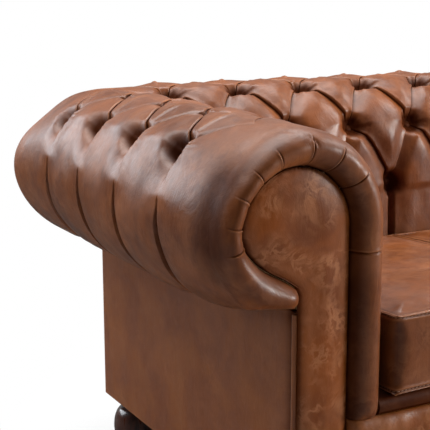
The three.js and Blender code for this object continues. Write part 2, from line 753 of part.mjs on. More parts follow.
for (let i = 0; i < seatCount; i++) {
  const middleX = (i - (seatCount - 1) / 2) * cushionPitch;
  const number = i + 1;
  const zipZ = deckTop(cushionRear) + fitGap + cushionThickness / 2;
  const zipLow = [middleX - zipLength / 2, cushionRear - zipDepth, zipZ - zipHeight / 2];
  const zipHigh = [middleX + zipLength / 2, cushionRear, zipZ + zipHeight / 2];
  const slotLow = [zipLow[0], cushionRear - 2 * cushionWall, zipLow[2]];
  const slotHigh = [zipHigh[0], cushionRear + cushionWall, zipHigh[2]];
  const slot = boxAt(floorPlace, slotLow, slotHigh, fitGap);
  const cover = cutAway(cushionBody(middleX, 0), [cushionBody(middleX, cushionWall), slot]);
  addPiece(`cushion_cover_${number}`, cover, leather);
  addPiece(`cushion_core_${number}`, cushionBody(middleX, cushionWall + fitGap), foam);
  addPiece(`cushion_zip_${number}`, boxAt(floorPlace, zipLow, zipHigh), darkCloth);
  const sliderX = zipLow[0] + sliderMargin;
  const sliderFront = cushionRear + fitGap;
  const slider = boxAt(
    floorPlace,
    [sliderX, sliderFront, zipZ - sliderHeight / 2],
    [sliderX + sliderWidth, sliderFront + sliderDepth, zipZ + sliderHeight / 2],
  );
  addPiece(`zip_slider_${number}`, slider, brass);
}

// Turned bun feet, held by bolts that pass through the dust cover into the corner blocks
function turned(profile, x, along) {
  const lathe = new THREE.LatheGeometry(profile.map((p) => new THREE.Vector2(...p)), footSteps);
  return mapPoints(lathe, (a, up, b) => floorPlace(x + a, along + b, up));
}

function bunFoot(x, along) {
  const neckTopZ = footTopZ - footCollarHeight;
  const bunTopZ = neckTopZ - footNeckHeight;
  const middleZ = (footPadHeight + bunTopZ) / 2;
  const halfHeight = (bunTopZ - footPadHeight) / 2;
  const shoulder = Math.asin(footPadRadius / footRadius);
  const bun = spread(shoulder, Math.PI - shoulder, bunSteps).map((t) => [
    footRadius * Math.sin(t),
    middleZ - (halfHeight * Math.cos(t)) / Math.cos(shoulder),
  ]);
  const holeZ = footTopZ - boltDepth - fitGap;
  return turned([
    [0, 0], [footPadRadius, 0], ...bun, [footNeckRadius, neckTopZ],
    [footCollarRadius, neckTopZ + footCollarHeight / 3], [footCollarRadius, footTopZ],
    [boltHoleRadius, footTopZ], [boltHoleRadius, holeZ], [0, holeZ],
  ], x, along);
}

for (const [name, side] of Object.entries(sides)) {
  const x = side * (armLine - footInset);
  for (const [end, along] of Object.entries(footAlongs)) {
    const bottom = footTopZ - boltDepth;
    const top = bottom + boltLength;
    const bolt = turned([[0, bottom], [boltRadius, bottom], [boltRadius, top], [0, top]], x, along);
    addPiece(`foot_${end}_${name}`, bunFoot(x, along), polishedWood);
    addPiece(`foot_bolt_${end}_${name}`, bolt, steel);
  }
}

export default sofa;
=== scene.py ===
import bmesh
import bpy
import numpy as np
from mathutils import Matrix


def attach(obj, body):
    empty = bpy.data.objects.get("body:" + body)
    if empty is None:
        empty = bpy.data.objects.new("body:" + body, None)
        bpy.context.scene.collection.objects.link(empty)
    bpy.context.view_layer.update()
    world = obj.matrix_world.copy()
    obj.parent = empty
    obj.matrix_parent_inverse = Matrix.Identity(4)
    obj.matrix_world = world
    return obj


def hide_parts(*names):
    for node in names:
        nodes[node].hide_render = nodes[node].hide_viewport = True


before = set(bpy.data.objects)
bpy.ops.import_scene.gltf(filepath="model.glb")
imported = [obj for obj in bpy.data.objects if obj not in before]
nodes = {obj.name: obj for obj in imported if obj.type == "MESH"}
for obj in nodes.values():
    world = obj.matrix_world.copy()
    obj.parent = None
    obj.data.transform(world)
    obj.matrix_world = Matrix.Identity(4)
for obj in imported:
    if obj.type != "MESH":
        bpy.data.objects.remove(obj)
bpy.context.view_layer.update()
scene = bpy.context.scene
scene.view_settings.view_transform = "Standard"
sides = {"left": -1, "right": 1}  # as seen from the front
print("frame loaded:", len(nodes), "nodes")

# solved from the reference picture
camera = {
    "place": (-1.7134, -1.7791, 0.960),
    "turns": (28.21, 11.37, -0.16),  # degrees to the right, down, and tilted
    "lens": 92.0,
    "sensor": 36,
}


def stand(thing, across, ahead, place):
    # a camera or a lamp at a place, looking ahead
    turn = np.eye(4)
    turn[:3] = np.stack([across, np.cross(across, ahead), -ahead, place], 1)
    thing.matrix_world = Matrix(turn.tolist())
    scene.collection.objects.link(thing)


def addCamera():
    yaw, pitch, tilt = np.radians(camera["turns"])
    ahead = np.array([np.sin(yaw) * np.cos(pitch), np.cos(yaw) * np.cos(pitch), -np.sin(pitch)])
    across = np.array([np.cos(yaw), -np.sin(yaw), 0])
    across = across * np.cos(tilt) + np.cross(across, ahead) * np.sin(tilt)
    data = bpy.data.cameras.new("camera")
    data.lens, data.sensor_width = camera["lens"], camera["sensor"]
    scene.camera = bpy.data.objects.new("camera", data)
    stand(scene.camera, across, ahead, camera["place"])


addCamera()


def smooth(x, low, high):
    # 0 below low, 1 above high, and 3t^2 - 2t^3 between
    t = np.clip((x - low) / (high - low), 0, 1)
    return t * t * (3 - 2 * t)


def bump(x, width):
    # a bell of height 1: exp(-(x / width)^2)
    return np.exp(-(x / width) ** 2)


def between(x, a, b, c, d):
    # rises from 0 to 1 between a and b, and falls back between c and d
    return smooth(x, a, b) * (1 - smooth(x, c, d))


def roundOver(share):
    # a quarter circle from 0 to 1: sqrt(1 - (1 - share)^2)
    return np.sqrt(np.maximum(1 - (1 - np.clip(share, 0, 1)) ** 2, 0))


def gridQuads(rows, cols, first=0):
    r, c = np.meshgrid(np.arange(rows - 1), np.arange(cols - 1), indexing="ij")
    corner = first + r * cols + c
    return np.stack([corner, corner + 1, corner + cols + 1, corner + cols], -1).reshape(-1, 4)


def rimOf(rows, cols):
    # the border of a grid as one closed walk of its point numbers
    ids = np.arange(rows * cols).reshape(rows, cols)
    return np.concatenate([ids[0], ids[1:, -1], ids[-1, -2::-1], ids[-2:0:-1, 0]])


def shell(outer, inner, bands=None):
    # two grids with the same rows and columns, joined round their borders, if need be through
    # more loops of points, each as long as the border
    rows, cols = outer.shape[:2]
    size, rim = rows * cols, rimOf(rows, cols)
    loops = [rim] + [2 * size + i * len(rim) + np.arange(len(rim)) for i in range(len(bands or []))]
    loops.append(rim + size)
    walls = [np.stack([a, b, np.roll(b, -1), np.roll(a, -1)], -1) for a, b in zip(loops, loops[1:])]
    points = np.concatenate([outer.reshape(-1, 3), inner.reshape(-1, 3), *(bands or [])])
    faces = [gridQuads(rows, cols), gridQuads(rows, cols, size)[:, ::-1], *walls]
    return points, np.concatenate(faces).tolist()


def facedMarks(creaseAndShade, crest):
    # the marks of a shell whose inner side lies hidden; that side is painted fully dark, as shade
    return {"creaseAndShade": np.concatenate([creaseAndShade, 0 * creaseAndShade + 1]),
            "crest": np.concatenate([crest, 0 * crest])}


def tube(loops, caps=True):
    # closed rings of points, each joined to the next, with a flat cap on each end
    count, size = loops.shape[:2]
    i, j = np.meshgrid(np.arange(count - 1), np.arange(size), indexing="ij")
    k = (j + 1) % size
    quads = np.stack([i * size + j, i * size + k, (i + 1) * size + k, (i + 1) * size + j], -1)
    faces = quads.reshape(-1, 4).tolist()
    if caps:
        faces += [list(range(size)), list(range((count - 1) * size, count * size))]
    return loops.reshape(-1, 3), faces


def turned(profile, steps, middle=(0, 0, 0)):
    # a profile of (radius, height) turned about an upright line through the middle
    turn = np.linspace(0, 2 * np.pi, steps, endpoint=False)
    radius, height = np.array(profile).T[:, :, None]
    loops = np.stack([radius * np.cos(turn), radius * np.sin(turn), height + 0 * turn], -1)
    return tube(loops + np.array(middle), caps=False)


def together(shapes):
    points, faces, first = [], [], 0
    for found, walls in shapes:
        points.append(found)
        faces += [[i + first for i in wall] for wall in walls]
        first += len(found)
    return np.concatenate(points), faces


def addPiece(name, shape, finish, replaces=(), body="frame", sharp=40, marks=None, merge=2e-5):
    points, faces = shape
    mesh = bpy.data.meshes.new(name)
    mesh.from_pydata(np.asarray(points).tolist(), [], faces)
    for label, values in (marks or {}).items():
        layer = mesh.attributes.new(label, "FLOAT", "POINT")
        layer.data.foreach_set("value", np.asarray(values, np.float32).ravel())
    work = bmesh.new()
    work.from_mesh(mesh)
    bmesh.ops.remove_doubles(work, verts=work.verts, dist=merge)
    bmesh.ops.recalc_face_normals(work, faces=work.faces)
    work.to_mesh(mesh)
    work.free()
    mesh.shade_smooth()
    if sharp:
        mesh.set_sharp_from_angle(angle=np.radians(sharp))
    mesh.materials.append(finish)
    piece = bpy.data.objects.new(name, mesh)
    scene.collection.objects.link(piece)
    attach(piece, body)
    if replaces:
        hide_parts(*replaces)
    return piece


def feed(tree, node, feeds):
    # sockets are linked, and anything else is set as the input's own value
    for key, value in feeds.items():
        if isinstance(value, bpy.types.NodeSocket):
            tree.links.new(value, node.inputs[key])
        else:
            node.inputs[key].default_value = value
    return node


def addNode(tree, kind, feeds=None, **settings):
    made = tree.nodes.new("ShaderNode" + kind)
    for key, value in settings.items():
        setattr(made, key, value)
    return feed(tree, made, feeds or {})


def reckon(tree, operation, *values, clamp=False):
    feeds = dict(enumerate(values))
    return addNode(tree, "Math", feeds, operation=operation, use_clamp=clamp).outputs[0]


def times(tree, first, second):
    return reckon(tree, "MULTIPLY", first, second)


def blendColours(tree, share, first, second, kind="MIX"):
    feeds = {0: share, 6: first, 7: second}
    return addNode(tree, "Mix", feeds, data_type="RGBA", blend_type=kind).outputs[2]


def ramp(tree, value, low, high, fromValue=0.0, toValue=1.0):
    feeds = {"Value": value, "From Min": low, "From Max": high, "To Min": fromValue, "To Max": toValue}
    return addNode(tree, "MapRange", feeds, interpolation_type="SMOOTHSTEP").outputs[0]


def noise(tree, place, scale, detail=3.0, roughness=0.5, distortion=0.0):
    feeds = {"Vector": place, "Scale": scale, "Detail": detail, "Roughness": roughness,
             "Distortion": distortion}
    return addNode(tree, "TexNoise", feeds).outputs[0]


def stretched(tree, place, scale):
    feeds = {0: place, 1: scale}
    return addNode(tree, "VectorMath", feeds, operation="MULTIPLY").outputs[0]


def newGroup(name, inputs, outputs):
    tree = bpy.data.node_groups.new(name, "ShaderNodeTree")
    for label, kind, value in inputs:
        socket = tree.interface.new_socket(label, in_out="INPUT", socket_type="NodeSocket" + kind)
        if value is not None:
            socket.default_value = value
    for label, kind in outputs:
        tree.interface.new_socket(label, in_out="OUTPUT", socket_type="NodeSocket" + kind)
    return tree, tree.nodes.new("NodeGroupInput"), tree.nodes.new("NodeGroupOutput")


def colour(red, green, blue):
    # an sRGB colour of 0 to 255 as the linear one that Blender reads
    c = np.array([red, green, blue]) / 255
    return (*np.where(c <= 0.04045, c / 12.92, ((c + 0.055) / 1.055) ** 2.4).tolist(), 1.0)


def makePatina():
    # waxed hide: cloudy tone, a broken network of pale rub marks and worn crests, and the crease mark's
    # darkening, which is partly wax in the creases and partly painted shade
    tree, given, put = newGroup(
        "patina",
        [("Place", "Vector", None), ("Base", "Color", (0.2, 0.1, 0.05, 1)),
         ("Deep", "Color", (0.1, 0.04, 0.02, 1)), ("Rubbed", "Color", (0.4, 0.25, 0.15, 1)),
         ("Veins", "Float", 0.5), ("CreaseAndShade", "Float", 0.0), ("Crest", "Float", 0.0)],
        [("Colour", "Color"), ("Rub", "Float")])
    place = given.outputs["Place"]
    cloud = ramp(tree, noise(tree, place, 9.0, 4, 0.6, 0.4), 0.36, 0.66)
    tone = blendColours(tree, times(tree, cloud, 0.75), given.outputs["Base"],
                        given.outputs["Deep"])
    fleck = ramp(tree, noise(tree, place, 30, 5, 0.62, 0.3), 0.35, 0.7)
    tone = blendColours(tree, times(tree, fleck, 0.28), tone, given.outputs["Deep"])
    bend = addNode(tree, "TexNoise", {"Vector": place, "Scale": 9.0, "Detail": 3.0}).outputs["Color"]
    away = addNode(tree, "VectorMath", {0: bend, 1: (0.5, 0.5, 0.5)}, operation="SUBTRACT").outputs[0]
    away = addNode(tree, "VectorMath", {0: away, "Scale": 0.11}, operation="SCALE").outputs[0]
    bent = addNode(tree, "VectorMath", {0: place, 1: away}, operation="ADD").outputs[0]
    rub = None
    for scale, width, patchScale in ((13.0, 0.085, 9.0), (24.0, 0.10, 13.0), (50.0, 0.12, 18.0)):
        # where a cloud crosses its middle value lies a soft wandering wisp
        cloudLine = noise(tree, bent, scale, 4, 0.6, 0.2)
        lines = reckon(tree, "ABSOLUTE", reckon(tree, "SUBTRACT", cloudLine, 0.5))
        lines = ramp(tree, lines, 0.0, width, 0.72, 0.0)
        patch = ramp(tree, noise(tree, place, patchScale, 3), 0.45, 0.68)
        lines = times(tree, lines, patch)
        rub = lines if rub is None else reckon(tree, "MAXIMUM", rub, lines)
    rub = times(tree, rub, given.outputs["Veins"])
    crest = times(tree, given.outputs["Crest"], ramp(tree, fleck, 0.0, 1.0, 0.5, 1.0))
    rub = reckon(tree, "MAXIMUM", rub, times(tree, crest, 0.75), clamp=True)
    tone = blendColours(tree, rub, tone, given.outputs["Rubbed"])
    # painted shade, partly wax: the crease mark darkens the tone towards this colour
    dark = blendColours(tree, 1.0, tone, (0.24, 0.17, 0.15, 1), "MULTIPLY")
    tone = blendColours(tree, given.outputs["CreaseAndShade"], tone, dark)
    tree.links.new(tone, put.inputs["Colour"])
    tree.links.new(rub, put.inputs["Rub"])
    return tree


def makeGrain():
    # fine pebbled grain, pores, and soft wrinkles, as a height and as a change of gloss
    tree, given, put = newGroup(
        "hideGrain", [("Place", "Vector", None), ("Wrinkle", "Float", 1.0)],
        [("Height", "Float"), ("Dull", "Float")])
    place = given.outputs["Place"]
    pebble = addNode(tree, "TexVoronoi", {"Vector": place, "Scale": 520.0},
                     feature="SMOOTH_F1").outputs[0]
    pores = noise(tree, place, 1100.0, 2, 0.6)
    folds = noise(tree, stretched(tree, place, (1.0, 1.0, 0.45)), 46.0, 4, 0.62, 1.4)
    soft = noise(tree, place, 13.0, 3, 0.5, 0.8)
    height = reckon(tree, "ADD", pebble, times(tree, pores, 0.5))
    height = times(tree, height, 0.16)
    waves = reckon(tree, "ADD", folds, times(tree, soft, 1.6))
    height = reckon(tree, "ADD", height, times(tree, waves, given.outputs["Wrinkle"]))
    tree.links.new(height, put.inputs["Height"])
    tree.links.new(ramp(tree, noise(tree, place, 8.0, 5, 0.65), 0.3, 0.7), put.inputs["Dull"])
    return tree


patina = makePatina()
hideGrain = makeGrain()


def newMaterial(name, **plain):
    made = bpy.data.materials.new(name)
    made.use_nodes = True
    tree = made.node_tree
    surface = next(n for n in tree.nodes if n.type == "BSDF_PRINCIPLED")
    for key, value in plain.items():
        surface.inputs[key].default_value = value
    return made, tree, surface


def finishWith(tree, surface, tone, roughness, relief=None):
    # relief: a height, its strength, and how many metres a height of 1 stands for
    feeds = {"Base Color": tone, "Roughness": roughness}
    if relief:
        bumps = dict(zip(("Height", "Strength", "Distance"), relief))
        feeds["Normal"] = addNode(tree, "Bump", bumps).outputs[0]
    feed(tree, surface, feeds)


def objectPlace(tree):
    return addNode(tree, "TexCoord").outputs["Object"]


def mark(tree, label):
    return addNode(tree, "Attribute", attribute_name=label, attribute_type="GEOMETRY").outputs["Fac"]


def leatherMaterial(name, base, deep, rubbed, veins, wrinkle=1.0, gloss=(0.30, 0.46), wax=0.18,
                    sheen=0.36, marks=False):
    made, tree, surface = newMaterial(
        name, **{"Specular IOR Level": sheen, "Coat Weight": wax, "Coat Roughness": 0.26,
                 "Coat IOR": 1.45})
    place = objectPlace(tree)
    creaseAndShade, crest = (mark(tree, "creaseAndShade"), mark(tree, "crest")) if marks else (0.0, 0.0)
    tone = addNode(tree, "Group", {"Place": place, "Base": base, "Deep": deep, "Rubbed": rubbed,
                                   "Veins": veins, "CreaseAndShade": creaseAndShade, "Crest": crest}, node_tree=patina)
    grain = addNode(tree, "Group", {"Place": place, "Wrinkle": wrinkle}, node_tree=hideGrain)
    dull = ramp(tree, grain.outputs["Dull"], 0.0, 1.0, *gloss)
    if marks:
        dull = reckon(tree, "ADD", dull, times(tree, creaseAndShade, 0.2), clamp=True)
        bare = reckon(tree, "SUBTRACT", 1.0, creaseAndShade, clamp=True)
        feed(tree, surface, {"Coat Weight": times(tree, bare, wax),
                             "Specular IOR Level": times(tree, bare, sheen)})
    finishWith(tree, surface, tone.outputs["Colour"], dull, (grain.outputs["Height"], 0.55, 0.0012))
    return made


leather = {
    "base": colour(126, 69, 31),
    "deep": colour(84, 40, 17),
    "rubbed": colour(166, 108, 70),
    "panelBase": colour(131, 73, 31),
    "panelDeep": colour(110, 57, 30),
    "facingBase": colour(131, 66, 14),
    "facingDeep": colour(95, 45, 11),
}
coverLeather = leatherMaterial("coverLeather", leather["base"], leather["deep"], leather["rubbed"],
                               0.26, wrinkle=1.3, gloss=(0.33, 0.53), wax=0.11, sheen=0.31,
                               marks=True)
facingLeather = leatherMaterial("facingLeather", leather["facingBase"], leather["facingDeep"],
                                leather["rubbed"], 0.85, gloss=(0.38, 0.54), wax=0.05, sheen=0.24,
                                marks=True)
panelLeather = leatherMaterial("panelLeather", leather["panelBase"], leather["panelDeep"],
                               leather["rubbed"], 0.15, gloss=(0.38, 0.54), wax=0.06, marks=True)
cushionLeather = leatherMaterial("cushionLeather", leather["base"], leather["deep"],
                                 leather["rubbed"], 0.35, marks=True)


def timberMaterial(name, pale, dark, gloss, along):
    # long wavy grain along one axis, growth lines across it, and short pores
    made, tree, surface = newMaterial(name, **{"Specular IOR Level": 0.4})
    place = objectPlace(tree)
    long = stretched(tree, place, tuple(0.08 if i == along else 1.0 for i in range(3)))
    lines = noise(tree, long, 55.0, 5, 0.6, 1.2)
    bands = noise(tree, long, 14.0, 2, 0.5, 2.0)
    pores = ramp(tree, noise(tree, long, 420.0, 2), 0.6, 0.75)
    share = reckon(tree, "ADD", times(tree, lines, 0.6),
                   times(tree, bands, 0.5))
    tone = blendColours(tree, ramp(tree, share, 0.38, 0.72), pale, dark)
    tone = blendColours(tree, times(tree, pores, 0.35), tone, dark)
    rough = ramp(tree, lines, 0.3, 0.7, gloss, gloss + 0.12)
    finishWith(tree, surface, tone, rough, (share, 0.3, 0.0008))
    return made


timberX, timberY, timberZ = (
    timberMaterial("timber" + axis, colour(196, 158, 108), colour(150, 108, 66), 0.6, i)
    for i, axis in enumerate("XYZ"))


def polishedMaterial():
    # stained hardwood under a clear lacquer
    made, tree, surface = newMaterial(
        "darkWood", **{"Coat Weight": 0.8, "Coat Roughness": 0.08, "Specular IOR Level": 0.5})
    place = objectPlace(tree)
    lines = noise(tree, stretched(tree, place, (1, 1, 0.12)), 90.0, 5, 0.6, 1.0)
    tone = blendColours(tree, ramp(tree, lines, 0.35, 0.7), colour(74, 38, 24), colour(38, 17, 11))
    finishWith(tree, surface, tone, ramp(tree, lines, 0.2, 0.8, 0.24, 0.4))
    return made


def foamMaterial():
    made, tree, surface = newMaterial("foam", **{"Specular IOR Level": 0.2})
    place = objectPlace(tree)
    cells = addNode(tree, "TexVoronoi", {"Vector": place, "Scale": 380.0}).outputs[0]
    cloud = noise(tree, place, 6.0, 4)
    tone = blendColours(tree, cloud, colour(238, 226, 188), colour(222, 204, 158))
    tone = blendColours(tree, ramp(tree, cells, 0.3, 0.8, 0.0, 0.35), tone, colour(190, 168, 122))
    rough = ramp(tree, cloud, 0.2, 0.8, 0.88, 0.98)
    finishWith(tree, surface, tone, rough, (cells, 0.6, 0.0015))
    return made


def wovenMaterial(name, pale, dark, pitch, sheen=0.0):
    # plain weave: warp over weft in turn, on Object coordinates across X and Y or X and Z
    made, tree, surface = newMaterial(name, **{"Sheen Weight": sheen, "Specular IOR Level": 0.2})
    place = objectPlace(tree)
    parts = addNode(tree, "SeparateXYZ", {0: place})
    side = reckon(tree, "SINE", times(tree, parts.outputs[0], np.pi / pitch))
    ahead = reckon(tree, "ADD", parts.outputs[1], parts.outputs[2])
    ahead = reckon(tree, "SINE", times(tree, ahead, np.pi / pitch))
    weave = times(tree, side, ahead)
    fuzz = noise(tree, place, 240.0, 3)
    share = reckon(tree, "ADD", times(tree, weave, 0.3), fuzz)
    tone = blendColours(tree, ramp(tree, share, 0.1, 0.9), dark, pale)
    rough = ramp(tree, fuzz, 0.2, 0.8, 0.85, 0.97)
    finishWith(tree, surface, tone, rough, (share, 0.5, pitch * 0.3))
    return made


def metalMaterial(name, tone, tarnish, low, high):
    made, tree, surface = newMaterial(name, **{"Metallic": 1.0})
    place = objectPlace(tree)
    stain = ramp(tree, noise(tree, place, 60.0, 4, 0.6), 0.4, 0.75)
    brushed = noise(tree, stretched(tree, place, (1, 1, 0.1)), 900.0, 2)
    finishWith(tree, surface, blendColours(tree, stain, tone, tarnish),
               ramp(tree, brushed, 0.2, 0.8, low, high))
    return made


def threadMaterial():
    made, tree, surface = newMaterial("thread")
    fuzz = noise(tree, objectPlace(tree), 300.0)
    tone = blendColours(tree, fuzz, colour(158, 116, 90), colour(112, 76, 56))
    finishWith(tree, surface, tone, 0.6)
    return made


threadCord = threadMaterial()
darkWood = polishedMaterial()
foam = foamMaterial()
jute = wovenMaterial("jute", colour(186, 156, 108), colour(118, 92, 58), 0.0022)
blackCloth = wovenMaterial("blackCloth", colour(50, 48, 47), colour(24, 23, 23), 0.0012, 0.1)
zipTape = wovenMaterial("zipTape", colour(58, 44, 36), colour(30, 22, 18), 0.0008, 0.1)
brass = metalMaterial("brass", colour(196, 160, 92), colour(140, 104, 56), 0.25, 0.4)
steel = metalMaterial("steel", colour(176, 176, 172), colour(120, 118, 112), 0.28, 0.42)
print("materials made")

# the rolls of the arms and the back
roll = {
    "radius": 0.156,
    "armLine": 0.859,  # the arms' centre lines, from the middle of the sofa
    "backLine": 0.750,  # the back's centre line, behind the facings' plane
    "front": -0.438,  # the facings' plane
    "middleUp": 0.617,
    "under": 0.492,  # where the underside meets the outside panels
    "underAngle": 236,
    "foot": 0.3053,  # lower edge of the covers, on the deck
    "inner": 0.1232,  # inside of the covers, round the centre line
    "scroll": 0.097,  # timber scroll, and the head of the facing
    "cornerShare": 0.45,
    "fitGap": 0.0003,
}
underRise = roll["radius"] * np.radians(roll["underAngle"])
underEnd = underRise - roll["radius"] * np.cos(underRise / roll["radius"])
footRise = roll["foot"] - roll["middleUp"]
armEnd = roll["backLine"] - roll["fitGap"]
backEnd = roll["armLine"] - roll["fitGap"]


def sectionAt(rise, radius=None):
    # the round of a roll: out = -r cos(a), up = middle + r sin(a), with a = rise / 156 mm; below
    # zero it runs straight down, and past the underside's start it runs in level to the panel
    radius = roll["radius"] if radius is None else radius
    angle = np.clip(rise, 0, underRise) / roll["radius"]
    away = np.stack([-np.cos(angle), np.sin(angle)], -1)
    out, up = radius * away[..., 0], roll["middleUp"] + radius * away[..., 1] + np.minimum(rise, 0)
    left = np.clip((underEnd - rise) / (underEnd - underRise), 0, 1)
    up = np.where(rise > underRise, roll["under"] + (up - roll["under"]) * left, up)
    turn = smooth(rise, underRise - 0.03, underRise + 0.03)[..., None]
    away = away * (1 - turn) + np.array([0.0, -1.0]) * turn
    return out * left, up, away / np.linalg.norm(away, axis=-1, keepdims=True)


def cornerOf(out, cornerAt):
    # a line of the roll runs straight to its start, then round an arc of 45 degrees to the mitre
    radius = np.maximum(out, 0) * roll["cornerShare"]
    start = cornerAt + out - radius
    return radius, start, start + radius * np.pi / 4


def alongRoll(out, along, cornerAt):
    radius, start, _ = cornerOf(out, cornerAt)
    turn = np.clip((along - start) / np.maximum(radius, 1e-6), 0, np.pi / 4)
    straight = np.minimum(along, start)
    return out - radius * (1 - np.cos(turn)), straight + radius * np.sin(turn)


def onArm(side):
    def place(out, along, up):
        o, a = alongRoll(out, along, armEnd)
        return np.stack([side * (roll["armLine"] + o), roll["front"] + a, up + 0 * a], -1)
    return place


def onBack(out, along, up):
    o, a = alongRoll(out, np.abs(along), backEnd)
    return np.stack([np.sign(along) * a, roll["front"] + roll["backLine"] + o, up + 0 * a], -1)


tufts = {
    "spacing": 0.161,
    "rows": (0.362, 0.264, 0.192, 0.068, -0.070),
    "flutePitch": 0.084,
    "bends": {"arm": (0.12, 0.30, 0.45, 0.35), "back": (0.35, 0.72, 0.62, 0.38)},
    "groove": 0.0135,
    "overWidth": 0.0034,  # the upper pillow's steep edge
    "underWidth": 0.034,  # the lower pillow's gentle one
    "overhang": 0.0024,
    "pit": 0.024,
    # for each row, how far its pits reach to the front and to the rear, and up and down
    "pitReach": ((0.011, 0.064, 0.038), (0.013, 0.013, 0.013), (0.036, 0.036, 0.034),
                 (0.038, 0.038, 0.038), (0.036, 0.036, 0.036)),
    "slotDepth": 0.014,
    "slotHalf": 0.0068,
    "buttonRadius": 0.0088,
    "buttonDepth": 0.0318,
    "buttonHeight": 0.0045,
}
arm = {"kind": "arm", "first": 0.165, "last": 3, "overrun": 0.0, "gather": 0.0, "end": armEnd}
back = {"kind": "back", "first": -0.5635, "last": 7, "overrun": 1.0, "gather": 0.08, "end": backEnd}
lastRow = len(tufts["rows"]) - 1


def rowAt(rise):
    # counts rows of buttons from the outermost, with flute pitches past the first and last
    reach = 8 * tufts["flutePitch"]
    rises = [tufts["rows"][-1] - reach, *tufts["rows"][::-1], tufts["rows"][0] + reach]
    return np.interp(rise, rises, [lastRow + 8, *range(lastRow, -1, -1), -8])


def bowed(share, bend):
    # a pleat's way across: level at its upper hole, upright at its lower one
    return (1 - bend) * share + bend * roundOver(share)


def halfSpread(row, bends):
    # half the width, in spacings, of the pillow that stands on a whole column
    f = row - np.floor(row)
    choice = [(1 - bowed(1 - f, bends[0])) / 2, (1 - bowed(f, bends[1])) / 2, bowed(f, bends[2]) / 2,
              (1 - bowed(f, bends[3])) / 2]
    cases = [(row >= i) & (row < i + 1) for i in range(4)]
    return np.select(cases, choice, 0.0)


def tuftStrength(column, row, kind):
    inwards = np.clip(row - 2, 0, 1)
    spare = np.where(row > lastRow, 0, kind["overrun"] * (1 - inwards / 2))
    beyond = np.maximum(np.maximum(-spare - column, column - kind["last"] - spare), 0)
    return np.maximum(0, 1 - 2 * beyond)


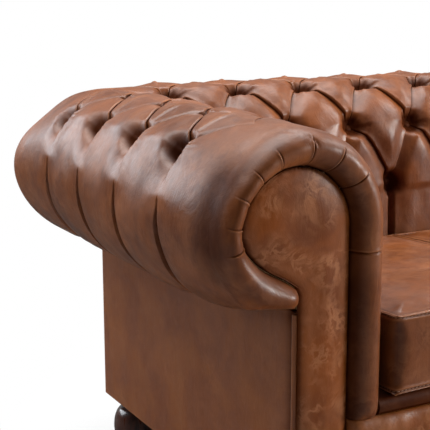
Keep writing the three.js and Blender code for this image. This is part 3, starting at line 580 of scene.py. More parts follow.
def buttoned(column, rise, kind):
    # depth under the plain roll, sideways pull towards a pleat, and the crease and crest masks
    row, bends, step = rowAt(rise), tufts["bends"][kind["kind"]], tufts["spacing"]
    half = halfSpread(row, bends)
    slope = np.abs(np.gradient(half[:, 0], rise[:, 0]))[:, None] * step
    lean = 1 / np.sqrt(1 + np.minimum(slope, 2.4) ** 2)
    across = column - np.round(column)
    whole = np.abs(across) <= half  # on the pillow of a whole column
    near = np.abs(np.abs(across) - half) * step
    far = np.where(whole, half + np.abs(across), 1 - half - np.abs(across)) * step
    # square to a slanting pleat near it, level further off
    near, far = (gap * (lean + (1 - lean) * smooth(gap, 0.0, 0.055)) for gap in (near, far))
    # each pillow overlaps the next row's, so the whole columns' pillows lie over on rows 1 to 2
    # and 3 to 4
    over = smooth(row, 0.8, 1.2) - smooth(row, 1.55, 2.45) + smooth(row, 2.7, 3.3)
    over = np.where(whole, over, 1 - over)

    # pleats are thin near the top of the roll, and open wide further in and near their holes
    wide = np.clip(smooth(row, 1.5, 2.6) + (1 - smooth(near + far, 0.008, 0.060)) * 0.5, 0, 1)

    def edge(e):
        steep = 0.62 * (1 - smooth(e, 0, tufts["overWidth"])) + 0.38 * (1 - smooth(e, 0, 0.040)) * wide
        gentle = 1 - smooth(e, 0, 0.010 + wide * (tufts["underWidth"] - 0.010))
        return (over * steep + (1 - over) * gentle) * (0.30 + 0.70 * wide)

    # both sides' pleats sink a pillow's middle a little, so that narrow ones stay round
    pleats = (edge(near) ** 1.6 + edge(far) ** 1.6) ** (1 / 1.6)
    width = np.where(whole, half, 0.5 - half) * step
    pleats = np.maximum(pleats, (1 - smooth(width, 0.003, 0.018)) * (0.30 + 0.70 * wide))
    inZone = between(row, -0.25, 0.05, 4.0, 4.25)
    depth = tufts["groove"] * pleats * inZone
    side = np.abs(across) * step
    # outer flutes: a crisp fold runs down from each hole, with a hollow on its rear side only,
    # then a slot begins in a nearly flat face
    past = np.maximum(-row, 0)
    arch = 0.020 * (1 - smooth(past, 0.05, 0.85))
    rear = across > 0
    valley = np.where(rear, (1 - smooth(side, 0, 0.046)) ** 1.1, 1 - smooth(side, 0, 0.006))
    valley = arch * valley + 0.0022 * (1 - smooth(side, 0, 0.05)) * (1 - bump(past - 1.04, 0.16))
    cut = smooth(past, 1.04, 1.30) * (1 - smooth(rise, 0.585, 0.655))
    slotHalf = tufts["slotHalf"] * (0.2 + 0.8 * smooth(past, 1.08, 1.9))
    slot = 1 - smooth(side, slotHalf - 0.0014, slotHalf + 0.0018)
    depth += (valley + tufts["slotDepth"] * slot * cut) * (1 - inZone) * (past > 0)
    # inner flutes, down to the deck
    down = np.maximum(row - lastRow, 0)
    seam = 1 - smooth(side, 0.005, 0.011)
    depth += (0.013 * seam + 0.009 * (1 - smooth(side, 0, 0.055))) * (down > 0) * (1 - inZone)
    # pits round the holes, with short radiating wrinkles
    pit, wrinkle = 0 * depth, 0 * depth
    for i, level in enumerate(tufts["rows"]):
        shift = column - i / 2
        dx, dy = (shift - np.round(shift)) * step, rise - level
        ahead, behind, tall = tufts["pitReach"][i]
        reach = np.hypot(dx / np.where(dx > 0, behind, ahead), dy / tall)
        bowl = np.clip(1 - reach ** 2, 0, 1) ** 1.6
        if i == 1 and kind["kind"] == "back":
            bowl = bowl * 0.55
        pit = np.maximum(pit, bowl)
        reach = np.hypot(dx, dy)
        turn = np.arctan2(dy, dx) + 2.1 * np.round(shift) + i
        folds = np.cos(9 * turn) + 0.7 * np.cos(14 * turn + 1.3)
        wrinkle += folds * between(reach, 0.008, 0.015, 0.024, 0.048)
    depth += tufts["pit"] * pit - 0.0006 * wrinkle
    # a pinched ridge that climbs from each outermost hole over the top
    ridge = bump(side, 0.0032) * between(rise, 0.247, 0.262, 0.330, 0.353)
    depth -= 0.0026 * ridge
    # folded rims: a thin proud line on the upper edge, with a dip behind it near the holes
    rim = over * inZone * bump(near - 0.0021, 0.0013) * smooth(width, 0.006, 0.018)
    depth -= 0.0007 * rim
    depth -= 0.0060 * smooth(near, 0, 0.070) * smooth(far, 0, 0.070) * inZone
    # each pillow is a little different
    lump = np.sin(5.1 * column + 31 * rise) + np.sin(3.3 * column - 47 * rise + 1.7)
    lump = lump + 0.6 * np.sin(13.7 * column + 71 * rise + 0.6) + 0.5 * np.sin(21.3 * column - 39 * rise)
    depth += 0.0005 * lump
    depth = np.where(depth > 0.022, 0.022 + 0.0105 * (1 - np.exp((0.022 - depth) / 0.0105)), depth)
    strength = tuftStrength(column, row, kind)
    tuck = np.clip((underEnd - rise) / (underEnd - underRise), 0, 1)
    depth *= strength * tuck
    room = smooth(width, 0.010, 0.030)
    pull = tufts["overhang"] * over * smooth(near, 0, 0.0009) * (1 - smooth(near, 0.002, 0.009))
    pull *= inZone * room * strength * np.where(whole, 1, -1) * lean
    shove = np.sign(across) * pull  # in metres along the roll
    line = 0.0013 + 0.0018 * wide
    # painted shade, partly wax: the crease mark darkens the pleat lines, the shade under each
    # overlapping edge, the pits, and the flutes' seams and slots
    creaseAndShade = strength * inZone * np.maximum(
        1 - smooth(near, 0.0004, line), 0.35 * wide * (1 - over) * (1 - smooth(near, 0, 0.009)))
    creaseAndShade = creaseAndShade * (1 - 0.75 * bump(row - 0.95, 0.28)) * (0.55 + 0.45 * smooth(row, 0.4, 1.3))
    creaseAndShade = np.maximum(creaseAndShade, strength * 0.95 * smooth(pit, 0.08, 0.55))
    seamLine = np.where(rear, 1 - smooth(side, 0.0005, 0.0045), 1 - smooth(side, 0, 0.001))
    creaseAndShade = np.maximum(creaseAndShade, 0.9 * strength * seamLine * (1 - smooth(past, 0.45, 0.85)) * (past > 0))
    creaseAndShade = np.maximum(creaseAndShade, 0.9 * strength * slot * cut * (1 - inZone))
    crest = strength * rim
    crest = np.maximum(crest, 0.8 * ridge * strength)
    return depth, shove, creaseAndShade, crest


# distances from a pleat as shares of half a spacing, close together near the pleat
steps = np.array([0, 0.8, 1.8, 3.2, 5, 7.5, 11, 16, 23, 32, 43, 54, 64, 73, 80.5]) / 80.5
quarter = np.concatenate([steps - 1, 1 - steps[-2::-1]])  # -1 to 1


def columnGrid(half, first, last, start, end):
    # columns that follow the pleats: for each row, the pillows of the whole columns and the
    # ones between them take the same number of columns, from start to end
    half = np.clip(half, 0.034, 0.466)
    blocks = [start + (first - half - start) * (1 - (1 - np.linspace(0, 1, 22)[:-1]) ** 1.7)]
    for n in range(first, last + 1):
        blocks.append(n + half * quarter[:-1])
        if n < last:
            blocks.append(n + 0.5 + (0.5 - half) * quarter[:-1])
    blocks.append(last + half + (end - last - half) * np.linspace(0, 1, 26) ** 1.5)
    return np.concatenate(blocks, 1)


def risesWith(extra=()):
    tufted = np.arange(-0.118, 0.466, 0.0034)
    rises = [np.linspace(underEnd, underRise, 9), np.arange(underRise, 0.466, -0.0085), tufted,
             np.linspace(-0.118, footRise, 22)]
    for middle in extra:
        rises.append(middle + np.array([-5, -3, -1.6, -0.7, 0, 0.7, 1.6, 3, 5]) * 1e-3)
    rises = np.sort(np.round(np.concatenate(rises), 5))[::-1]
    return rises[np.concatenate([[True], -np.diff(rises) > 0.0006])][:, None]


def liningOf(cornerPlace, alongs):
    # a cover's hidden side: in under the roll to the timber, round inside the foam, and down
    under = np.linspace(roll["radius"] * np.pi * 1.5, underRise, 4)
    angle = under / roll["radius"]
    rings = [(-roll["scroll"] * np.cos(a), roll["middleUp"] + roll["scroll"] * np.sin(a)) for a in angle]
    for rise in [*np.linspace(underRise, 0, 15), footRise]:
        out, up, _ = sectionAt(np.array(rise), roll["inner"])
        rings.append((float(out), float(up)))
    return np.stack([cornerPlace(np.full(len(alongs), o), alongs, u) for o, u in rings[::-1]])


def coverShape(kind, place, rises, columns, lip=None):
    shape = rises + 0 * columns
    depth, shove, creaseAndShade, crest = buttoned(columns, shape, kind)
    if lip is not None:
        depth = depth + taper(shape, kind["first"] + tufts["spacing"] * columns)
    out, up, away = sectionAt(shape)
    lowest = np.clip(rowAt(shape) - lastRow + 1, 0, 1)
    along = (kind["first"] + tufts["spacing"] * columns + shove) * (1 - kind["gather"] * lowest)
    end = cornerOf(out, kind["end"])[2]
    toEnd = end - np.abs(along)
    mitre = bump(toEnd, 0.010) * 0.0025 * np.clip((underEnd - shape) / 0.09, 0, 1)
    # the roll falls away on its upper outer side where arm and back meet
    depth = depth + mitre + 0.019 * bump(shape - 0.370, 0.075) * (1 - smooth(toEnd, 0.0, 0.19))
    along = np.clip(along, -end, end)
    skin = place(out - away[..., 0] * depth, np.where(np.abs(along) >= end, np.sign(along) * 9, along),
                 up - away[..., 1] * depth)
    marks = {"creaseAndShade": creaseAndShade, "crest": crest}
    if lip is not None:
        # painted shade: the hollow behind the rope is painted dark on the outer side of the arm
        beside = kind["first"] + tufts["spacing"] * columns
        hollowShade = (1 - smooth(beside, 0.016, 0.078)) * between(shape, 0.31, 0.39, 0.50, 0.60)
        marks["creaseAndShade"] = np.maximum(creaseAndShade, 0.75 * hollowShade)
        edge, lipMarks = lip
        skin = np.concatenate([edge, skin], 1)
        marks = {k: np.concatenate([lipMarks[k], marks[k]], 1) for k in marks}
    return skin, marks


def closedCover(skin, marks, lining):
    # each column with its lining is a closed ring, and the two end rings are capped
    rings = np.concatenate([skin, lining], 0).transpose(1, 0, 2)
    spare = np.zeros((lining.shape[0], skin.shape[1]))
    marks = {k: np.concatenate([v, spare], 0).T for k, v in marks.items()}
    return tube(rings), marks


def taper(rise, along):
    # how far the roll draws in before the lip: a round shoulder, mostly on its outer side
    share = np.interp(rise, [0.14, 0.245, 0.30, 0.37, 0.56, underRise, underEnd],
                      [0, 0.007, 0.018, 0.029, 0.029, 0.027, 0.006])
    near = np.clip(1 - (along - 0.004) / 0.125, 0, 1)
    return share * (0.74 * (1 - np.sqrt(1 - near ** 2)) + 0.26 * (1 - smooth(along, 0, 0.28)))


lip = {
    "forward": 0.030,
    "back": 0.018,  # where it runs into the roll, behind the facings' plane
    "pleatAngles": (190, 171, 150, 130, 110, 84, 60, 36),
    "pleatDepth": 0.0020,
    "creaseRise": -0.042,
    "lower": ((1, 0), (0.88, 0.2), (0.6, 0.42), (0.24, 0.58), (0, 0.7)),
}
pleatRises = [roll["radius"] * np.radians(a) for a in lip["pleatAngles"]] + [lip["creaseRise"]]


def through(points, share):
    # a smooth curve through evenly spaced points (Catmull-Rom)
    p = np.array(points, float)
    p = np.concatenate([[2 * p[0] - p[1]], p, [2 * p[-1] - p[-2]]])
    at = np.clip(share, 0, 1) * (len(points) - 1)
    i = np.minimum(at.astype(int), len(points) - 2)
    t = (at - i)[..., None]
    a, b, c, d = p[i], p[i + 1], p[i + 2], p[i + 3]
    return 0.5 * (2 * b + (c - a) * t + (2 * a - 5 * b + 4 * c - d) * t ** 2
                  + (3 * b - a - 3 * c + d) * t ** 3)


def lipEdge(rise, radius):
    # where the lip meets the facing: round the scroll's head, then in along its flattened side
    headEnd = roll["radius"] * np.pi
    out, up, _ = sectionAt(rise, radius)
    lower = through(lip["lower"], (rise - headEnd) / (underEnd - headEnd))
    drop = (roll["middleUp"] - roll["under"]) * radius / roll["scroll"]
    past = rise > headEnd
    return (np.where(past, radius * lower[..., 0], out),
            np.where(past, roll["middleUp"] - drop * lower[..., 1], up))


def lipShape(side, rises):
    # a rope round the facing: an upright half oval between the facing's edge and the roll
    turn = np.concatenate([np.linspace(-90, 0, 13), np.linspace(0, 90, 13)[1:-1]])
    turn = np.radians(turn)[None, :]
    reach = np.where(turn < 0, 0.25, lip["back"] / lip["forward"])
    across, ahead = 0.5 + 0.5 * np.sin(turn), 1 - (1 + reach) * (1 - np.cos(turn))
    pinch, crest = 0 * rises, 0 * rises
    for i, at in enumerate(pleatRises):
        pinch = pinch + bump(rises - at, 0.0012) * (1.0 if i % 2 else 0.8)
        crest = crest + bump(rises - at - 0.0034, 0.0016)
    gaps = np.sort(np.array(pleatRises))
    cell = np.interp(rises, gaps, np.arange(len(gaps)), left=0, right=len(gaps) - 1)
    puff = np.sin(np.pi * (cell % 1)) ** 2
    fade = 1 - smooth(turn, 0.0, 0.8)
    depth = (pinch * lip["pleatDepth"] - 0.0012 * crest - 0.0012 * puff) * fade
    # one fold lies across the top, behind the rope
    slant = bump(rises - 0.262 + 0.040 * smooth(turn, 1.5, 0.2), 0.0022) * smooth(turn, 0.1, 0.35)
    depth = depth + 0.0030 * slant
    nose = np.sqrt(np.clip(1 - np.clip((rises - underEnd + 0.034) / 0.034, 0, 1) ** 2, 0, 1))
    nose = nose * np.sqrt(np.clip(1 - np.clip((0.022 + footRise - rises) / 0.030, 0, 1) ** 2, 0.08, 1))
    scale = 1 - depth / 0.0285
    across = 0.5 + (across - 0.5) * scale
    ahead = np.where(ahead > 0, ahead * scale * nose, ahead)
    inner = lipEdge(rises, roll["scroll"] - 0.0002)
    out, up, away = sectionAt(rises)
    drawn = taper(rises, lip["back"])
    out, up = out - away[..., 0] * drawn, up - away[..., 1] * drawn
    out = inner[0] + (out - inner[0]) * across
    up = inner[1] + (up - inner[1]) * across
    points = np.stack([side * (roll["armLine"] + out), roll["front"] - lip["forward"] * ahead, up], -1)
    # painted shade: the inner flank is painted dark as the facing's shade, darkest on the seat side and
    # fully so next to the facing, and the outer flank beside the roll's shoulder is painted dark too
    shade = 0.82 * smooth(-turn, 0.30, 0.95) * (1 - smooth(rises, 0.12, 0.25))
    shade = shade + 0.75 * smooth(turn, 0.55, 1.2) * between(rises, 0.31, 0.39, 0.50, 0.60)
    marks = {"creaseAndShade": 0.7 * np.clip(pinch * fade, 0, 1) + np.maximum(smooth(-turn, 0.85, 1.4), shade),
             "crest": np.clip(crest * fade, 0, 1) + 0 * turn}
    marks["creaseAndShade"] = np.clip(marks["creaseAndShade"], 0, 1)
    return points, marks


def buttonAt(middle, away, radius, height, steps=18):
    # a covered button: a low dome over a rounded rim, turned to face away from the cover
    lift = np.linspace(0, np.pi / 2, 5)
    dome = zip(radius * np.cos(lift) ** 0.8, height * np.sin(lift))
    profile = np.array([(radius * 0.8, -height), *dome])
    profile[-1, 0] = 0
    turn = np.linspace(0, 2 * np.pi, steps, endpoint=False)
    helper = np.array([0.0, 0.0, 1.0]) if abs(away[2]) < 0.9 else np.array([0.0, 1.0, 0.0])
    side = np.cross(helper, away)
    side /= np.linalg.norm(side)
    other = np.cross(away, side)
    rings = (profile[:, 0, None, None] * (np.cos(turn)[:, None] * side + np.sin(turn)[:, None] * other)
             + profile[:, 1, None, None] * away) + middle
    points, faces = tube(rings, caps=False)
    return points, [list(range(rings.shape[1]))] + faces


def buttonsOf(kind, place):
    shapes = []
    for i, rise in enumerate(tufts["rows"]):
        for n in range(-2, kind["last"] + 3):
            column = n + (i % 2) / 2
            if tuftStrength(np.array(column), np.array(float(i)), kind) < 0.99:
                continue
            out, up, away = sectionAt(np.array(rise))
            lowest = np.clip(i - lastRow + 1, 0, 1)
            along = (kind["first"] + tufts["spacing"] * column) * (1 - kind["gather"] * lowest)
            if abs(along) > cornerOf(out, kind["end"])[2] - 0.015:
                continue
            deep = tufts["buttonDepth"]
            ends = [place(out - away[0] * d, np.array(along), up - away[1] * d) for d in (deep, 0)]
            facing = (ends[1] - ends[0]) / np.linalg.norm(ends[1] - ends[0])
            shapes.append(buttonAt(ends[0], facing, tufts["buttonRadius"],
                                   tufts["buttonHeight"]))
    return together(shapes)


def addArmCovers():
    rises = risesWith(pleatRises)
    half = halfSpread(rowAt(rises), tufts["bends"]["arm"])
    start = (lip["back"] - arm["first"]) / tufts["spacing"]
    end = (cornerOf(sectionAt(rises)[0], armEnd)[2] - arm["first"]) / tufts["spacing"] + 0.02
    columns = columnGrid(half, 0, arm["last"], start, np.maximum(end, arm["last"] + 0.2))
    for name, side in sides.items():
        place = onArm(side)
        edge = lipShape(side, rises)
        skin, marks = coverShape(arm, place, rises, columns, edge)
        lipCount = edge[0].shape[1]
        alongs = arm["first"] + tufts["spacing"] * columns[len(rises) // 2]
        alongs = np.concatenate([np.full(lipCount, 0.0075), alongs])
        alongs[-1] = 9
        shape, marks = closedCover(skin, marks, liningOf(place, alongs))
        piece = addPiece(f"armCover_{name}", shape, coverLeather, [f"arm_cover_{name}"],
                         sharp=60, marks=marks)
        buttons = buttonsOf(arm, place)
        # painted shade: the buttons are painted dark all over, as the shade in their pits
        addPiece(f"armButtons_{name}", buttons, coverLeather, sharp=0,
                 marks={"creaseAndShade": np.full(len(buttons[0]), 0.85)})


def addBackCover():
    rises = risesWith()
    half = halfSpread(rowAt(rises), tufts["bends"]["back"])
    lowest = np.clip(rowAt(rises) - lastRow + 1, 0, 1)
    reach = cornerOf(sectionAt(rises)[0], backEnd)[2] / (1 - back["gather"] * lowest) + 0.004
    start, end = ((s * reach - back["first"]) / tufts["spacing"] for s in (-1, 1))
    columns = columnGrid(half, -1, back["last"] + 1, np.minimum(start, -1.2),
                         np.maximum(end, back["last"] + 1.2))
    skin, marks = coverShape(back, onBack, rises, columns)
    alongs = back["first"] + tufts["spacing"] * columns[len(rises) // 2]
    alongs[0], alongs[-1] = -9, 9
    shape, marks = closedCover(skin, marks, liningOf(onBack, alongs))
    piece = addPiece("backCover", shape, coverLeather, ["back_cover"], sharp=60, marks=marks)
    buttons = buttonsOf(back, onBack)
    # painted shade: the buttons are painted dark all over, as the shade in their pits
    addPiece("backButtons", buttons, coverLeather, sharp=0,
             marks={"creaseAndShade": np.full(len(buttons[0]), 0.85)})


addArmCovers()
addBackCover()
print("covers made")

# foam under the covers
padding = {"outer": 0.1228, "inner": 0.0971, "front": 0.0024}


def foamShape(place, alongs):
    rises = np.concatenate([np.linspace(underRise - 0.001, 0, 40), np.linspace(0, footRise, 12)[1:]])
    skins = []
    for radius in (padding["outer"], padding["inner"]):
        out, up, _ = sectionAt(rises, radius)
        out, up = out[:, None] + 0 * alongs, up[:, None] + 0 * alongs
        skins.append(place(out, alongs + 0 * out, up))
    return shell(*skins)


def addFoam():
    alongs = np.concatenate([np.linspace(padding["front"], 0.60, 20), np.linspace(0.62, 0.92, 16)])
    for name, side in sides.items():
        piece = addPiece(f"armFoam_{name}", foamShape(onArm(side), alongs), foam,
                         [f"arm_foam_{name}"])
    ends = np.linspace(0.71, 1.02, 16)
    alongs = np.concatenate([-ends[::-1], np.linspace(-0.69, 0.69, 30), ends])
    piece = addPiece("backFoam", foamShape(onBack, alongs), foam, ["back_foam"])


addFoam()

# plump panels on the fronts of the arms
facing = {
    "gap": 0.0016,  # to the lip
    "edge": 0.0075,  # how far the edge's round stands out, over its width
    "rounding": 0.022,
    "swell": 0.006,
    "back": 0.002,
    "stemOut": -0.005,
    "bottom": 0.1153,
    "rows": 110,
    "cols": 44,
}


def facingShape(side):
    radius = roll["scroll"] - facing["gap"]
    headRises = np.linspace(underEnd, roll["radius"] * np.pi / 2, 90)
    out, up = lipEdge(headRises, radius)
    keep = (out > facing["stemOut"]) | (headRises < roll["radius"] * np.pi)
    left = np.stack([out, up], -1)[keep]
    corner = (facing["stemOut"], left[0][1] - 0.012)
    left = np.concatenate([[(facing["stemOut"], facing["bottom"]), corner], left])
    innerRises = np.concatenate([[facing["bottom"] - roll["middleUp"]],
                                 np.linspace(0, roll["radius"] * np.pi / 2, 60)])
    right = np.stack(sectionAt(innerRises, radius)[:2], -1)

    def evenly(line, count):
        run = np.concatenate([[0], np.cumsum(np.linalg.norm(np.diff(line, axis=0), axis=1))])
        at = np.linspace(0, run[-1], count)
        return np.stack([np.interp(at, run, line[:, i]) for i in (0, 1)], -1)

    left, right = evenly(left, facing["rows"]), evenly(right, facing["rows"])
    left[-1] = right[-1]
    share = (1 - np.cos(np.linspace(0, np.pi, facing["cols"]))) / 2
    flat = left[:, None] + (right - left)[:, None] * share[None, :, None]
    outline = np.concatenate([left, right[::-1], flat[0]])
    gap = np.linalg.norm(flat[:, :, None] - outline[None, None], axis=-1).min(-1)
    ahead = facing["edge"] * roundOver(gap / facing["rounding"])
    ahead = ahead + facing["swell"] * smooth(gap, 0, 0.055)
    x = side * (roll["armLine"] + flat[..., 0])
    front = np.stack([x, roll["front"] - 0.001 - ahead, flat[..., 1]], -1)
    rear = np.stack([x, np.full_like(x, roll["front"] + facing["back"]), flat[..., 1]], -1)
    # painted shade: the edge is painted dark, as the shade in the gap by the lip; a paler ring lies on
    # the rounded shoulder
    creaseAndShade, crest = 0.8 * (1 - smooth(gap, 0, 0.007)), 0.35 * bump(gap - 0.016, 0.006)
    return shell(front, rear), facedMarks(creaseAndShade, crest)


for name, side in sides.items():
    shape, marks = facingShape(side)
    piece = addPiece(f"armFacing_{name}", shape, facingLeather, [f"arm_facing_{name}"],
                     marks=marks)

# leather drawn over boards, with a piped front edge on the arms
panel = {
    "thickness": 0.012,
    "top": 0.4905,
    "bottom": 0.115,
    "front": 0.0023,
    "rear": 0.760,
    "edge": 0.004,
    "dip": 0.0035,
    "pipeRadius": 0.0042,
}


def panelShape(length, height, dipAt=None):
    # a board's outer face on (along, up): edges turned in over a small round, the leather
    # slightly full in the middle, faint upright pulls rising from the lower edge
    s = np.concatenate([[0, 0.0012, 0.0025, 0.004, 0.007, 0.012, 0.018, 0.026],
                        np.linspace(0.036, length - 0.02, 150),
                        length - np.array([0.012, 0.004, 0.0015, 0])])
    t = np.concatenate([[0, 0.0015, 0.004, 0.009], np.linspace(0.018, height - 0.02, 46),
                        height - np.array([0.010, 0.004, 0.0015, 0])])
    t, s = np.meshgrid(t, s, indexing="ij")
    gap = np.minimum(np.minimum(s, length - s), np.minimum(t, height - t))
    face = panel["edge"] * (roundOver(gap / panel["edge"]) - 1)
    face = face - 0.0012 * (1 - smooth(gap, 0, 0.05))
    pulls = (np.sin(61 * s + 0.8) + np.sin(97 * s + 2.2 + 3 * t) + 0.6 * np.sin(171 * s)) / 2.6
    face = face + 0.0007 * pulls * (1 - smooth(t, 0.02, 0.22)) * smooth(gap, 0, 0.02)
    face = face + 0.0005 * np.sin(9 * s + 5 * t) * smooth(gap, 0, 0.05)
    if dipAt is not None:
        face = face - panel["dip"] * bump(s - dipAt, 0.011)
    return s, t, face, gap


def addArmPanels():
    for name, side in sides.items():
        length, height = panel["rear"] - panel["front"], panel["top"] - panel["bottom"]
        s, t, face, gap = panelShape(length, height, 0.013)
        inner = np.full_like(face, -panel["thickness"])
        along, up = roll["front"] + panel["front"] + s, panel["bottom"] + t
        shape = shell(*(np.stack([side * (roll["armLine"] + out), along, up], -1)
                        for out in (face, inner)))
        # painted shade: darker in the dip beside the piping and along the top, under the roll
        creaseAndShade = 0.75 * bump(s - 0.012, 0.008) + 0.4 * smooth(t, height - 0.04, height)
        marks = facedMarks(np.clip(creaseAndShade, 0, 1), 0.5 * bump(gap - 0.004, 0.003))
        addPiece(f"outsideArmPanel_{name}", shape, panelLeather,
                 [f"outside_arm_panel_{name}"], marks=marks)
        # the piping: a cord in leather down the front edge
        r = panel["pipeRadius"]
        turn = np.linspace(0, 2 * np.pi, 16, endpoint=False)
        ups = np.linspace(panel["bottom"] + 0.001, panel["top"] - 0.004, 70)[:, None]
        wave = 1 + 0.04 * np.sin(150 * ups)
        out = -r * 0.7 + r * wave * np.cos(turn)
        along = panel["front"] + 0.0022 + r * wave * np.sin(turn)
        rings = np.stack([side * (roll["armLine"] + out), roll["front"] + along, ups + 0 * out], -1)
        # the piping is paler on its outer side, turned a little to the rear
        marks = {"crest": 0.6 * np.clip(np.cos(turn - 0.6), 0, 1) + 0 * ups, "creaseAndShade": 0 * out}
        addPiece(f"armPiping_{name}", tube(rings), panelLeather, marks=marks)


def addBackPanel():
    half = roll["armLine"] - panel["thickness"] - roll["fitGap"]
    s, t, face, gap = panelShape(2 * half, panel["top"] - panel["bottom"])
    at = roll["front"] + panel["rear"]
    inner = np.full_like(face, -panel["thickness"])
    shape = shell(*(np.stack([s - half, at + out, panel["bottom"] + t], -1) for out in (face, inner)))
    marks = facedMarks(0 * s, 0.5 * bump(gap - 0.004, 0.003))
    addPiece("outsideBackPanel", shape, panelLeather, ["outside_back_panel"],
             marks=marks)


addArmPanels()
addBackPanel()

# border and deck
seat = {
    "insideHalf": 0.703,
    "insideRear": 0.594,
    "deckFront": 0.3445,
    "slope": 0.035 / 0.610,
    "borderBottom": 0.1153,
    "borderTop": 0.305,
    "borderPuff": 0.029,
    "noseForward": 0.030,
    "noseHeight": 0.030,
    "deckBottom": 0.2706,
    "sink": 0.006,  # how far the cushions press the pad down
}


def deckTop(along):
    return seat["deckFront"] - seat["slope"] * (along + 0.030)


def addBorder():
    # a padded panel across the front: full at the middle, its leather drawn at the lower edge
    half = roll["armLine"] - roll["scroll"] - 0.0004
    height = seat["borderTop"] - seat["borderBottom"]
    shares = ((0, 0), (0.7, 0.0), (0.93, 0.12), (1, 0.45), (1, 0.75), (0.9, 0.92), (0.55, 1), (0, 1))
    profile = through(shares, np.linspace(0, 1, 60))
    ends = np.array([0, 0.002, 0.006, 0.013, 0.024])
    x = np.concatenate([ends - half, np.linspace(-half + 0.04, half - 0.04, 150),
                        half - ends[::-1]])[None, :]
    full = roundOver((half - np.abs(x)) / 0.020)
    forward = profile[:, 0:1] * seat["borderPuff"]
    ripple = 1 + 0.035 * np.sin(27 * x + 1) + 0.025 * np.sin(61 * x + 2.2 + 5 * profile[:, 1:2])
    forward = forward * (0.25 + 0.75 * full) * ripple / 1.05
    up = seat["borderBottom"] + height * np.clip(profile[:, 1:2], 0, 1) + 0 * x
    front = np.stack([x + 0 * up, roll["front"] - forward, up], -1)
    rear = np.stack([x + 0 * up, np.full_like(up, roll["front"] + 0.002), up], -1)
    # the top edge is paler and lumpy, partly as wear and partly as a painted highlight
    wearAndShading = bump(profile[:, 1:2] - 0.93, 0.09)
    lumps = np.sin(83 * x + 1.3) + np.sin(141 * x + 0.4) + np.sin(227 * x + 2.0)
    front = front - np.array([0, 1, 0]) * (0.0007 * wearAndShading * lumps)[..., None]
    crest = wearAndShading * np.clip(0.55 + 0.25 * lumps, 0, 1) + 0 * up
    marks = facedMarks(0 * up, crest)
    piece = addPiece("frontBorder", shell(front, rear), facingLeather, ["front_border"],
                     marks=marks)


def addDeck():
    # the sprung pad under the cushions, with its rounded leather nose
    half = seat["insideHalf"] + 0.0045
    low, high = roll["foot"] + 0.0003, roll["foot"] + 0.0003 + seat["noseHeight"]
    rear = seat["insideRear"] - 0.0004
    turn = np.radians(np.linspace(-90, 90, 18))
    mid, r = (low + high) / 2, (high - low) / 2
    nose = np.stack([-seat["noseForward"] + 0.006 + r - r * np.cos(turn), mid + r * np.sin(turn)], -1)
    slope = np.linspace(0.012, rear, 46)
    sag = seat["sink"] + 0.003 * np.sin(np.pi * np.clip((slope - 0.05) / (rear - 0.05), 0, 1))
    top = np.stack([slope, deckTop(slope) - sag * smooth(slope, -0.03, 0.03) - 0.0004], -1)
    below = np.array([[rear, seat["deckBottom"]], [0.0026, seat["deckBottom"]], [0.0026, low]])
    profile = np.concatenate([nose, top, below])
    x = np.linspace(-half, half, 120)[:, None]
    wider = np.where(profile[:, 0] < 0.003, (half + 0.006) / half, 1)  # the nose meets the lips
    rings = np.stack([x * wider, roll["front"] + profile[:, 0] + 0 * x, profile[:, 1] + 0 * x], -1)
    # painted shade: the deck is painted dark all over, as shade under the cushions' overhang, and
    # darkest on the nose's lower half
    marks = {"creaseAndShade": 0.85 + 0.15 * (rings[..., 2] < 0.313), "crest": 0 * rings[..., 0]}
    piece = addPiece("seatDeck", tube(rings), cushionLeather, ["seat_deck"], marks=marks)


addBorder()
addDeck()

cushion = {
    "count": 3,
    "pitch": 0.4607,
    "width": 0.4567,
    "front": -0.030,
    "rear": 0.580,
    "thickness": 0.130,
    "crown": 0.013,
    "draw": 0.006,
    "bulge": 0.0030,
    "corner": (0.006, 0.034),  # round of the upright corners, at the seams and between them
    "wall": 0.006,
    "seam": 0.0024,
    "stitch": 0.0075,
    "shares": (0.993, 0.984, 0.974, 0.963, 0.951, 0.938, 0.92, 0.90, *np.linspace(0.87, 0.13, 9),
               0.10, 0.08, 0.062, 0.049, 0.037, 0.026, 0.016, 0.007),
}


def cushionMiddle(i):
    return (i - (cushion["count"] - 1) / 2) * cushion["pitch"]


def cushionGrid(rows, cols):
    # v and u from -1 to 1, closer together near the borders
    return np.meshgrid(*(np.sin(np.linspace(-1, 1, n) * np.pi / 2) for n in (rows, cols)),
                       indexing="ij")


